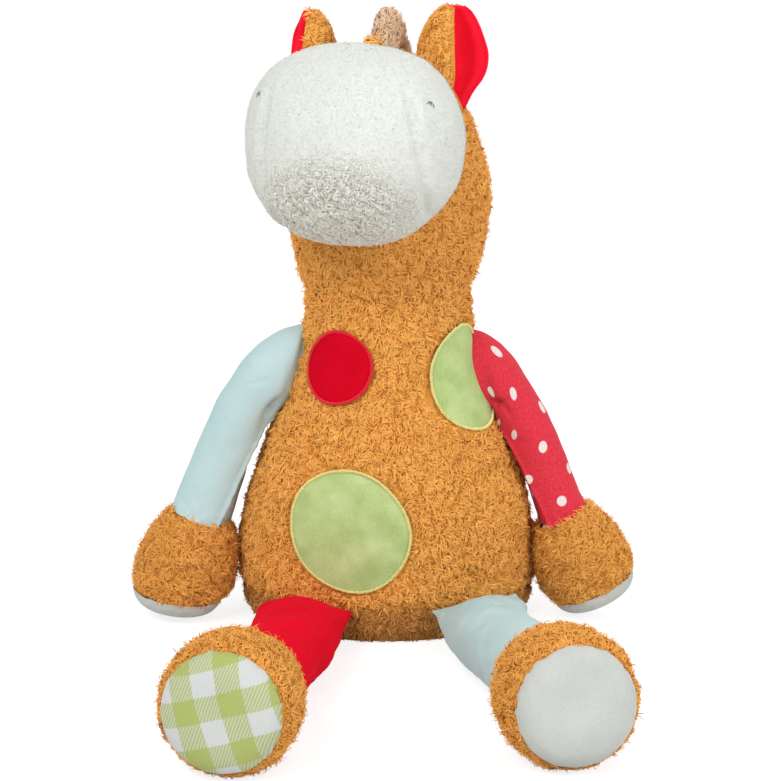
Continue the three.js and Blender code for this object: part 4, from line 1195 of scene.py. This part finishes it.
def patch_cloth(name, laid, material, rings=26, sides=96):
    """A round of cloth laid on the coat, a little pillowed, cut off where a sleeve's root covers it."""
    points, good = np.zeros((rings, sides, 3)), np.ones((rings, sides), bool)
    for i, share in enumerate(np.linspace(0.02, 1, rings)):
        for j in range(sides):
            angle = 2 * math.pi * j / sides
            size = (patch_reach(name, angle) - 0.6) * share
            x, y = size * math.cos(angle), size * math.sin(angle)
            dent = float(field(np.array([[x, y, 0.0]]), 22.0, 5)[0])
            place, _ = laid(x, y, 0.7 * (1 - share**6) + 0.25 * dent - 0.6)
            good[i, j] = place is not None
            points[i, j] = place if place is not None else 0
    free = good & off_shoulders(points.reshape(-1, 3)).reshape(rings, sides)
    kept = np.concatenate([free, free[:, :1]], 1)
    index = point_numbers(rings, sides, True)
    quads = np.stack([index[:-1, :-1], index[1:, :-1], index[1:, 1:], index[:-1, 1:]], -1)
    quads = quads[kept[:-1, :-1] & kept[1:, :-1] & kept[1:, 1:] & kept[:-1, 1:]]
    fan = np.stack([np.full(sides, rings * sides), index[0, :-1], index[0, 1:]], -1)
    points = np.concatenate([points.reshape(-1, 3), [points[0].mean(0)]])
    used = np.zeros(len(points), bool)
    used[quads.ravel()] = True
    used[fan.ravel()] = True
    renumber = np.cumsum(used) - 1
    return make_mesh(name + "_cloth", points[used], renumber[quads], material, tris=renumber[fan])


def satin_border(name, laid, thread, pitch=0.62, steps=5):
    """Satin stitches: short slanting threads side by side round a patch's edge."""
    _, _, right, above = patch_frame(name)
    rng = np.random.default_rng(len(name))
    count = int(2 * math.pi * PATCHES[name][2] / pitch)
    half = pitch * 0.56
    points, quads = [], []
    for k in range(count):
        angle = 2 * math.pi * (k + rng.uniform(-0.12, 0.12)) / count
        slant = 0.012 * rng.normal()
        reach = patch_reach(name, angle)
        inner, outer = reach - 1.5 + 0.12 * rng.normal(), reach + 0.3 + 0.12 * rng.normal()
        rows = []
        for share in np.linspace(0, 1, steps):
            size = inner + (outer - inner) * share
            turn = angle + slant * (share - 0.5)
            arch = 0.6 * math.sin(math.pi * (0.08 + 0.84 * share)) - 0.2
            place, out = laid(size * math.cos(turn), size * math.sin(turn), arch)
            if place is None:
                break
            rows.append((place, out, turn))
        if len(rows) < steps or not off_shoulders(np.array([rows[2][0]]))[0]:
            continue
        base = len(points)
        for place, out, turn in rows:
            beside = unit(-right * math.sin(turn) + above * math.cos(turn)) * half
            points += [place - beside - out * 0.5, place + out * 0.32, place + beside - out * 0.5]
        for a in range(base, base + 3 * (steps - 1), 3):
            quads += [(a, a + 1, a + 4, a + 3), (a + 1, a + 2, a + 5, a + 4)]
    return make_mesh(name + "_stitches", points, quads, thread)


def patch_pieces(name, trunk_tree):
    """A patch's cloth, and the border sewn over its edge."""
    cloth, slot, thread = PATCH_CLOTHS[name]
    laid = patch_layer(name, trunk_tree)
    finish_piece(patch_cloth(name, laid, MATERIALS[cloth]), "torso", [name])
    finish_piece(satin_border(name, laid, MATERIALS[thread]), "torso", [name + "_border"])


# Head

def muzzle_surface(inset, rows=150, sides=300):
    """The round face ball at an inset, from its back to its front."""
    angle = np.linspace(-math.pi / 2 + 0.03, math.pi / 2 - 0.03, rows)
    turn = np.arange(sides) * 2 * math.pi / sides
    across = np.sign(np.cos(turn)) * np.abs(np.cos(turn)) ** (1 / MUZZLE_FULLNESS)
    rise = np.sign(np.sin(turn)) * np.abs(np.sin(turn)) ** (1 / MUZZLE_FULLNESS)
    width, depth, height = MUZZLE_SIZE - inset
    centres = MUZZLE_CENTRE + np.outer(np.sin(angle) * depth, FACE_FORWARD)
    ring = (across * width)[:, None] * FACE_ACROSS + (rise * height)[:, None] * UP
    return Surface(centres[:, None] + np.cos(angle)[:, None, None] * ring[None])


def muzzle_places(points):
    """How far across, forward and up of the face ball's middle each point is."""
    away = points - MUZZLE_CENTRE
    return away @ FACE_ACROSS, away @ FACE_FORWARD, away @ UP


def muzzle_tufted(points):
    """Where the pile stands in open tufts, low on the front; elsewhere it lies smooth."""
    across, forward, rise = muzzle_places(points)
    away = np.hypot((across + 1) / 40, (rise + 29) / 28)
    return eased((1.5 - away) / 1.15) * eased((forward + 8) / 25)


def muzzle_ground():
    """The face ball's cloth, with its side seams drawn in, fine pile, and clumps under the nose."""
    ball = muzzle_surface(MUZZLE_DEPTH)
    p = ball.points
    across, forward, rise = muzzle_places(p)
    groove = 0
    for hand, line, tilt in ((1, 48.0, -0.10), (-1, 44.0, 0.05)):
        past = hand * across - line + 0.0026 * (rise + 8) ** 2 - tilt * rise
        groove = groove - 2.0 * np.exp(-((past / 2.2) ** 2)) + 0.9 * np.exp(-(((past - 5) / 3.5) ** 2))
    groove = groove * np.clip(forward / 20, 0, 1) * np.clip((40 - rise) / 15, 0, 1)
    tufted = muzzle_tufted(p)
    # The ball is flatter under the chin, and on the viewer's right of it
    cheek = -3.2 * np.exp(-(((across - 40) / 20) ** 2) - ((rise + 38) / 20) ** 2)
    chin = -0.5 * eased((-rise - 18) / 36) + cheek
    lumps = chin + 0.6 * field(p, 48.0, 31) + 0.2 * field(p, 15.0, 32)
    pile = 0.1 * field(p, 3.4, 33) + 0.08 * (clumps(p, 5.0, 34) - 0.6)
    tufts = (1.7 * (clumps(p, 9.5, 36) - 0.75) + 0.25 * field(p, 3.0, 35)) * tufted
    return ball.pushed(lumps + groove + pile + tufts)


def muzzle_pieces():
    """The face ball's cloth, its nap, and the tufts under the nose."""
    ball = muzzle_ground()
    skin = skin_piece("muzzle_skin", ball, MATERIALS["cream_ground"], close_start=True, close_end=True)
    finish_piece(skin, "head", ["muzzle_fur"])

    def outside_coat(q):
        return ~in_trunk(q, -2.5)

    roots, normals = ball.scatter(62.0, 201, outside_coat)
    made = strands(
        roots, normals, 1.35, 0.24, 0.08, 0.1, DOWN, 0.5, 202, tuft=9.0, contrast=0.12, strays=0.07)
    finish_piece(strand_piece("muzzle_nap", MATERIALS["cream_nap"], made), "head")

    def in_tufts(q):
        rng = np.random.default_rng(204)
        return outside_coat(q) & (muzzle_tufted(q) > rng.uniform(0.1, 1, len(q)))

    roots, normals = ball.scatter(150.0, 203, in_tufts)
    length = 3.7 * (0.35 + 0.65 * muzzle_tufted(roots))
    made = strands(
        roots, normals, length, 0.54, 0.14, 0.1, DOWN, 0.8, 205,
        segments=3, tuft=5.5, clump=9.5, contrast=0.35)
    finish_piece(strand_piece("muzzle_tufts", MATERIALS["cream_tuft"], made), "head")


def thread_run(points, half, corners=5):
    """A round thread through points, as a ring of corners at each."""
    points = np.asarray(points, float)
    tangent = unit(np.gradient(points, axis=0))
    # The corners are set by a direction that no thread runs along
    across = unit(np.cross(tangent, (0.3, 0.9, 0.2)))
    over = np.cross(across, tangent)
    ring = ring_rows(points, across * half, over * half, corners)
    return ring.reshape(-1, 3), grid_faces(point_numbers(len(points), corners, True))


# Strokes of an eye on the face's surface, in mm aside and up: where each starts and ends
EYE_STROKES = {
    "right": [
        ((-1.9, -2.6), (-1.2, 1.6)), ((-1.3, 1.9), (1.4, 1.0)), ((-0.9, 1.3), (0.8, -0.9)),
        ((1.1, 0.9), (2.4, -1.5)),
    ],
    "left": [
        ((-2.3, 0.7), (-0.3, 1.9)), ((-0.1, 2.0), (1.9, 0.2)), ((0.0, 1.6), (0.2, -0.7)),
        ((1.7, 0.5), (2.0, -2.2)),
    ],
}
EYE_TURN = math.radians(60)
# The faint eye on the far side sits a little higher
EYE_RISES = {"right": math.radians(30.8), "left": math.radians(27.8)}


def eye_piece(name, hand, muzzle_tree):
    """A small embroidered chevron with its point up, in a few stitches."""
    turned_up = EYE_RISES[name]
    across, forward, rise = MUZZLE_SIZE * np.array((
        math.cos(turned_up) * math.sin(hand * EYE_TURN), math.cos(turned_up) * math.cos(EYE_TURN),
        math.sin(turned_up),
    ))
    outward = unit(FACE_ACROSS * across + FACE_FORWARD * forward + UP * rise)
    level = unit(np.cross(UP, outward))
    upright = np.cross(outward, level)
    points, quads = [], []
    for (x0, y0), (x1, y1) in EYE_STROKES[name]:
        run = []
        for share in np.linspace(0, 1, 6):
            aside, up = x0 + (x1 - x0) * share, y0 + (y1 - y0) * share
            start = MUZZLE_CENTRE + outward * 120 + level * aside + upright * up
            hit = muzzle_tree.ray_cast(Vector(start), Vector(-outward), 120)[0]
            run.append(np.array(hit) + outward * (0.15 + 0.75 * math.sin(math.pi * share)))
        ring, faces = thread_run(run, 0.3)
        quads.append(faces + sum(len(p) for p in points))
        points.append(ring)
    points, quads = np.concatenate(points), np.concatenate(quads)
    piece = make_mesh(name + "_eye_thread", points, quads, MATERIALS["grey_thread"])
    finish_piece(piece, "head", [name + "_eye_stitch"])


# A small lock of the coat's fur in front of the mane
LOCK_CENTRE = np.array((-9.5, -22.0, 352.0))
LOCK_RADIUS = 8.5


def mane_pieces():
    """The mane's crest, its hair, and the lock of the coat's fur before it."""
    spine = np.array([
        FACE_FORWARD * forward * MANE_FORWARD + UP * (NECK_SEAM + rise * MANE_RISE)
        for forward, rise, _, _ in MANE_SHARES
    ])
    outward = unit(np.cross(np.gradient(spine, axis=0), FACE_ACROSS))
    across = np.array([FACE_ACROSS * width * MANE_HALF_WIDTH for _, _, _, width in MANE_SHARES])
    along = np.array([o * height * MANE_HALF_HEIGHT for o, (_, _, height, _) in zip(outward, MANE_SHARES)])
    table = smooth_rows(np.stack([spine, across, along], 1), 110)
    core = Surface(ring_rows(table[:, 0], table[:, 1] * 0.52, table[:, 2] * 0.9, 64))
    core = core.pushed(0.9 * field(core.points, 9.0, 41) + 1.0 * (clumps(core.points, 9.0, 42) - 0.7))
    skin = skin_piece("mane_ground", core, MATERIALS["beige_ground"], close_start=True, close_end=True)
    finish_piece(skin, "head", ["mane"])
    roots, normals = core.scatter(60.0, 301, lambda q: ~in_trunk(q, 0.0) & ~in_muzzle(q, 0.0))
    # The hairs stand up along the crest and hang down the nape
    flow = UP * 0.8 + np.array((0, 0.5, 0))
    made = strands(roots, normals, 4.2, 0.7, 0.14, 0.1, flow, 0.3, 302, segments=4)
    finish_piece(strand_piece("mane_curls", MATERIALS["beige_curl"], made), "head")
    roots, normals = core.scatter(120.0, 303, lambda q: np.linalg.norm(q - LOCK_CENTRE, axis=1) < LOCK_RADIUS)
    made = strands(roots, normals, 8.0, 0.8, 0.25, 0.1, -FACE_ACROSS, 0.3, 304, segments=4)
    finish_piece(strand_piece("forelock_curls", MATERIALS["ochre_curl"], made), "head")


def ear_pieces(name, side):
    """A fur back and a red lining, which is rolled over the rear edge of the fur."""
    body = name + "_ear"
    rear, front = EAR_SPAN
    back = ear_surface(side, 1.8, (rear + 16, front))
    pile = 0.6 * (clumps(back.points, CLUMP_SIZE, CLUMP_SEED) - 0.7)
    back = back.pushed(0.4 * field(back.points, 11.0, 51) + pile)
    fur = skin_piece(name + "_ear_back", back, MATERIALS["ochre_ground"], wall=0.7)
    finish_piece(fur, body, [name + "_ear_fur"])
    place = np.linspace(rear, front - 2, 60)
    inset = 0.1 + 3.9 * eased((place - rear - 3) / 12)
    lining = ear_surface(side, inset, (rear, front - 2), columns=60, near=0.02, far=0.995)
    lining = lining.pushed(0.5 * field(lining.points, 16.0, 52))
    # The lining's velour is lighter than the scarlet: painted light on the ear
    red = skin_piece(name + "_ear_lining_cloth", lining, MATERIALS["ear_velour"], wall=1.2)
    finish_piece(red, body, [name + "_ear_lining"])
    furred = ear_surface(side, 1.8, (rear + 24, front - 6))
    roots, normals = furred.scatter(86.0, 401, lambda q: ~in_trunk(q, -1.0) & ~in_muzzle(q, 0.0))
    made = strands(roots, normals, 3.8, CURL_WIDTH, 0.14, 0.12, DOWN, 0.8, 402)
    finish_piece(strand_piece(name + "_ear_curls", MATERIALS["ochre_curl"], made), body)


# Limbs

def creased(surface, seed, depth=0.7, length=26.0):
    """Soft folds and dents of a stuffed cloth tube."""
    p = surface.points
    return surface.pushed(depth * field(p, length, seed) + 0.35 * depth * field(p, length * 0.4, seed + 1))


def hoof_pieces(name, kind, hoof, body, sole_finish, seed):
    """The furry end of a limb and its padded sole."""
    ground = hoof_surface(hoof, COAT_DEPTH)
    p = ground.points
    ground = ground.pushed(0.5 * field(p, 20.0, seed) + 2.0 * (clumps(p, CLUMP_SIZE, CLUMP_SEED) - 0.75))
    ground.points[..., 2] = np.maximum(ground.points[..., 2], 0.3)
    ground.refresh()
    skin = skin_piece(f"{name}_{kind}_coat", ground, MATERIALS["ochre_ground"])
    finish_piece(skin, body, [f"{name}_{kind}_fur"])
    # The curls stop short of the sole, and are shorter near its rim
    cuff, direction = hoof["cuff"], hoof["direction"]
    rim_place = 0.985 * hoof["length"]
    roots, normals = ground.scatter(CURLS_PER_CM2, seed + 1, lambda q: (q - cuff) @ direction < rim_place)
    share = (roots - cuff) @ direction / hoof["length"]
    rim = 1 - 0.35 * np.clip((share - 0.75) / 0.2, 0, 1)
    made = strands(
        roots, normals, 4.8 * rim, CURL_WIDTH, 0.2, 0.13, -direction, 0.85, seed + 2,
        contrast=0.75, strays=0.1)
    finish_piece(strand_piece(f"{name}_{kind}_curls", MATERIALS["hoof_curl"], made), body)
    sole = sole_surface(hoof, seed + 3)
    sole_piece = skin_piece(f"{name}_{kind}_sole_cloth", sole, MATERIALS[sole_finish], close_end=True)
    lay_sole_cloth(sole_piece, hoof)
    finish_piece(sole_piece, body, [f"{name}_{kind}_sole"])


def lay_sole_cloth(piece, hoof):
    """Cloth coordinates of a sole: flat across its disc, turned as the cloth was cut."""
    cuff, direction, across = hoof["cuff"], hoof["direction"], hoof["across"]
    upward = unit(np.cross(across, direction))
    if upward[2] < 0:
        upward = -upward
    mesh = piece.data
    corner = np.zeros(len(mesh.loops), np.int32)
    mesh.loops.foreach_get("vertex_index", corner)
    away = vertex_rows(mesh, "co")[corner] / MM - cuff
    x, y = away @ across - GINGHAM_CENTRE[0], away @ upward - GINGHAM_CENTRE[1]
    u = x * math.cos(GINGHAM_TURN) + y * math.sin(GINGHAM_TURN)
    v = -x * math.sin(GINGHAM_TURN) + y * math.cos(GINGHAM_TURN)
    mesh.uv_layers["cloth"].data.foreach_set("uv", np.stack([u, v], -1).astype(np.float32).ravel())


# Folds of a sleeve near the armpit: middle, direction, half length, half width, depth
SLEEVE_FOLDS = {
    "right": [
        ((-70.5, -19.0, 135.0), (0.45, 0, 1.0), 7.0, 3.2, 7.5),
        ((-78.0, -22.0, 152.5), (1.0, 0, 0.3), 9.0, 1.8, 1.0),
        ((-60.5, -20.0, 148.0), (0.15, 0, 1.0), 14.0, 3.0, 1.0),
        ((-96.0, -22.0, 110.0), (0.8, 0, 0.6), 12.0, 5.0, 0.9),
    ],
    "left": [
        ((64.5, -20.0, 137.5), (1.0, 0, 0.35), 8.5, 2.6, 7.0),
        ((71.5, -22.0, 136.5), (0.6, 0, -0.8), 6.0, 2.2, 2.6),
        ((82.0, -22.0, 115.0), (1.0, 0, 0.3), 8.0, 3.0, 1.2),
        ((62.0, -22.0, 152.0), (0.3, 0, 1.0), 12.0, 4.0, 0.8),
    ],
}


def folded(surface, folds):
    """How far folds draw in each point of a surface."""
    return sum(-depth * fold(surface.points, *shape) for *shape, depth in folds)


def sleeve_surface(name, side):
    """A stuffed sleeve: its seam runs down the inner front, and the cloth behind it is drawn flat."""
    sleeve = creased(tube(sleeve_ribs(side), 150, 144), side["sleeve_seed"], 0.45, 30.0)
    rows, sides = sleeve.points.shape[:2]
    # Degrees round the sleeve, from its outer side by the front to its inner side
    round_place = (side["hand"] * np.arange(sides) * 360.0 / sides) % 360
    row_place = np.linspace(0, 1, rows)
    seam = np.interp(row_place, (0.2, 0.45, 1.0), (168.0, 152.0, 122.0))[:, None]
    past = round_place[None] - seam
    amount = eased((row_place - 0.3) / 0.12)[:, None]
    flat = -3.8 * eased(past / 11) * eased((88 - past) / 34) * amount
    ridge = 1.5 * np.exp(-((past / 4.5) ** 2)) * amount
    pucker = 0.3 * np.exp(-((past / 9) ** 2)) * field(sleeve.points, 5.0, 63) * amount
    folds = folded(sleeve, SLEEVE_FOLDS[name])
    gathered = 0.35 * field(sleeve.points, 7.0, 64) * np.exp(-((1 - row_place) / 0.05) ** 2)[:, None]
    return sleeve.pushed(flat + ridge + pucker + folds + gathered)


def arm_pieces(name, side):
    """An arm's sleeve and its hand."""
    body = name + "_arm"
    piece = skin_piece(
        name + "_sleeve", sleeve_surface(name, side), MATERIALS[side["sleeve"]], close_start=True)
    finish_piece(piece, body, [name + "_arm_sleeve"])
    hoof_pieces(name, "hand", hand_frame(side), body, "off_white_velour", side["hand_seed"])


# Folds of a leg's cloth, given in the same way
LEG_FOLDS = {
    "right": [
        ((-62.0, -108.0, 40.0), (-0.35, -1.0, -0.2), 24.0, 3.5, 1.0),
        ((-46.0, -92.0, 36.0), (0.2, -1.0, -0.6), 18.0, 3.0, 1.2),
    ],
    "left": [
        ((66.0, -112.0, 38.0), (0.25, -0.75, -0.6), 24.0, 3.6, 2.4),
        ((80.0, -100.0, 40.0), (0.8, -1.0, 0.0), 20.0, 4.5, 1.4),
    ],
}


def leg_pieces(name, side):
    """A leg's cloth and its foot."""
    body = name + "_leg"
    leg = creased(tube(leg_ribs(side), 130, 120), side["leg_seed"], 0.9, 26.0)
    leg = leg.pushed(folded(leg, LEG_FOLDS[name]))
    leg.points[..., 2] = np.maximum(leg.points[..., 2], 0.4)
    leg.refresh()
    piece = skin_piece(name + "_leg_cloth", leg, MATERIALS[side["leg"]], close_start=True)
    finish_piece(piece, body, [name + "_leg_sleeve"])
    hoof_pieces(name, "foot", foot_frame(side), body, side["foot_sole"], side["foot_seed"])


def tail_pieces():
    """The tail's core and its hair."""
    spine = np.array([
        (0.0, TAIL_ROOT_BACK + reach * TAIL_REACH, TAIL_ROOT_HEIGHT - drop * TAIL_DROP)
        for reach, drop, _ in TAIL_SHARES
    ])
    across = np.array((1.0, 0, 0))
    outward = unit(np.cross(across, np.gradient(spine, axis=0)))
    radius = np.array([share * TAIL_RADIUS for _, _, share in TAIL_SHARES])[:, None]
    table = smooth_rows(np.stack([spine, across * radius, outward * radius], 1), 70)
    core = Surface(ring_rows(table[:, 0], table[:, 1] * 0.78, table[:, 2] * 0.78, 48))
    core = core.pushed(0.7 * field(core.points, 9.0, 81) + 0.9 * (clumps(core.points, 9.0, 82) - 0.7))
    skin = skin_piece("tail_ground", core, MATERIALS["beige_ground"], close_start=True, close_end=True)
    finish_piece(skin, "tail", ["tail"])
    roots, normals = core.scatter(60.0, 601, lambda q: ~in_trunk(q, 1.0))
    made = strands(roots, normals, 6.5, 0.8, 0.18, 0.1, DOWN, 0.3, 602, segments=4)
    finish_piece(strand_piece("tail_curls", MATERIALS["beige_curl"], made), "tail")


def filling_piece(node, body):
    """Loose fibre filling inside a skin: the solid's form, softened and drawn in by lumps."""
    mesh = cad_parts[node].data.copy()
    mesh.name = node + "_fibre"
    piece = bpy.data.objects.new(node + "_fibre", mesh)
    bpy.context.scene.collection.objects.link(piece)
    remesh = piece.modifiers.new("remesh", "REMESH")
    remesh.mode = "VOXEL"
    remesh.voxel_size = 4 * MM
    soften = piece.modifiers.new("soften", "SMOOTH")
    soften.factor = 0.6
    soften.iterations = 6
    bpy.context.view_layer.update()
    made = bpy.data.meshes.new_from_object(piece.evaluated_get(bpy.context.evaluated_depsgraph_get()))
    piece.modifiers.clear()
    piece.data = made
    points = vertex_rows(made, "co") / MM
    lump = -1.2 - 0.8 * field(points, 12.0, 91)
    points = points + vertex_rows(made, "normal") * lump[:, None]
    if body in ("torso", "head"):
        # Drawn in at the neck, so the bending skin never meets it
        points[:, :2] *= 1 - 0.17 * eased(1.25 - np.abs(points[:, 2:] - NECK_SEAM) / 34)
    if body.endswith("arm"):
        # The sleeve is pinched at its root, and the filling with it
        side = SIDES[body.split("_")[0]]
        point, outward, upward = shoulder(side)
        away = points - point
        pinch = 1 - eased((away @ outward - away @ upward * 0.3) / 34)
        points[:, 1] = point[1] + away[:, 1] * (1 - 0.6 * pinch)
        points -= upward * (side["root_sinks"] * pinch + (away @ upward) * 0.14 * pinch)[:, None]
    made.vertices.foreach_set("co", (points * MM).astype(np.float32).ravel())
    made.polygons.foreach_set("use_smooth", np.ones(len(made.polygons), bool))
    made.materials.clear()
    made.materials.append(MATERIALS["fibre_filling"])
    made.update()
    finish_piece(piece, body, [node])


# The toy

coat_pieces(trunk_ground())
outer_tree = tree_of(trunk_surface())
for patch_name in PATCHES:
    patch_pieces(patch_name, outer_tree)
muzzle_pieces()
muzzle_tree = tree_of(muzzle_surface(MUZZLE_DEPTH))
for side_name, side_form in SIDES.items():
    eye_piece(side_name, side_form["hand"], muzzle_tree)
mane_pieces()
for side_name, side_form in SIDES.items():
    ear_pieces(side_name, side_form)
    arm_pieces(side_name, side_form)
    leg_pieces(side_name, side_form)
tail_pieces()
for filled_body in ("torso", "head", "right_arm", "left_arm", "right_leg", "left_leg"):
    filling_piece(filled_body + "_stuffing", filled_body)


# Floor, light and camera

def shown_rays(w):
    """1 for rays that show the background: seen straight, reflected or through glass."""
    rays = w.node("ShaderNodeLightPath").outputs
    shown = w.math("MAXIMUM", rays["Is Camera Ray"], rays["Is Glossy Ray"])
    return w.math("MAXIMUM", shown, rays["Is Transmission Ray"])


def stage_floor(reach=12.0):
    """A white floor that keeps the toy's shadow."""
    mesh = bpy.data.meshes.new("floor")
    corners = [(-reach, -reach, 0), (reach, -reach, 0), (reach, reach, 0), (-reach, reach, 0)]
    mesh.from_pydata(corners, [], [(0, 1, 2, 3)])
    floor = bpy.data.objects.new("floor", mesh)
    bpy.context.scene.collection.objects.link(floor)
    material = bpy.data.materials.new("white_floor")
    material.use_nodes = True
    tree = material.node_tree
    tree.nodes.clear()
    w = Wiring(tree)
    matt = w.node("ShaderNodeBsdfDiffuse", {"Color": rgba((0.80, 0.80, 0.80))})
    seen = w.node("ShaderNodeBsdfDiffuse", {"Color": rgba((0.34, 0.34, 0.34))})
    glow = w.node("ShaderNodeEmission", {"Color": rgba((1, 1, 1)), "Strength": 0.79})
    bright = w.node("ShaderNodeAddShader", {0: seen.outputs[0], 1: glow.outputs[0]})
    mixed = w.node("ShaderNodeMixShader", {0: shown_rays(w), 1: matt.outputs[0], 2: bright.outputs[0]})
    out = w.node("ShaderNodeOutputMaterial")
    w.put(out.inputs[0], mixed.outputs[0])
    mesh.materials.append(material)


def add_light(name, place, size, power, aim=(0, 0, 0.18)):
    data = bpy.data.lights.new(name, "AREA")
    data.shape = "DISK"
    data.size = size
    data.energy = power
    lamp = bpy.data.objects.new(name, data)
    lamp.location = place
    lamp.rotation_euler = (Vector(aim) - Vector(place)).to_track_quat("-Z", "Y").to_euler()
    bpy.context.scene.collection.objects.link(lamp)


def stage_world():
    """A white surround that is dimmer as light than it looks."""
    world = bpy.data.worlds.new("studio")
    bpy.context.scene.world = world
    world.use_nodes = True
    tree = world.node_tree
    tree.nodes.clear()
    w = Wiring(tree)
    strength = w.remap(shown_rays(w), 0.0, 1.0, 0.65, 1.0)
    sky = w.node("ShaderNodeBackground", {"Color": rgba((1, 1, 1)), "Strength": strength})
    out = w.node("ShaderNodeOutputWorld")
    w.put(out.inputs[0], sky.outputs[0])


stage_floor()
stage_world()
add_light("key", (-0.9, -1.5, 1.7), 1.0, 23.0)
add_light("fill", (1.3, -1.2, 1.0), 1.2, 12.0)
add_light("rim", (0.4, 1.5, 1.4), 1.0, 9.0)

# The camera's place in metres, how far it looks down, and its focal length against the picture's long side
CAMERA_PLACE = (0.0018, -1.5, 0.519)
CAMERA_DOWN = 14.12
FOCAL_PIXELS = 2500
LONG_SIDE_PIXELS = 781

camera_data = bpy.data.cameras.new("camera")
camera_data.sensor_width = 36.0
camera_data.lens = camera_data.sensor_width * FOCAL_PIXELS / LONG_SIDE_PIXELS
camera_data.clip_end = 60.0
camera = bpy.data.objects.new("camera", camera_data)
camera.location = CAMERA_PLACE
camera.rotation_euler = (math.radians(90 - CAMERA_DOWN), 0, 0)
bpy.context.scene.collection.objects.link(camera)
bpy.context.scene.camera = camera
bpy.context.scene.view_settings.view_transform = "Standard"
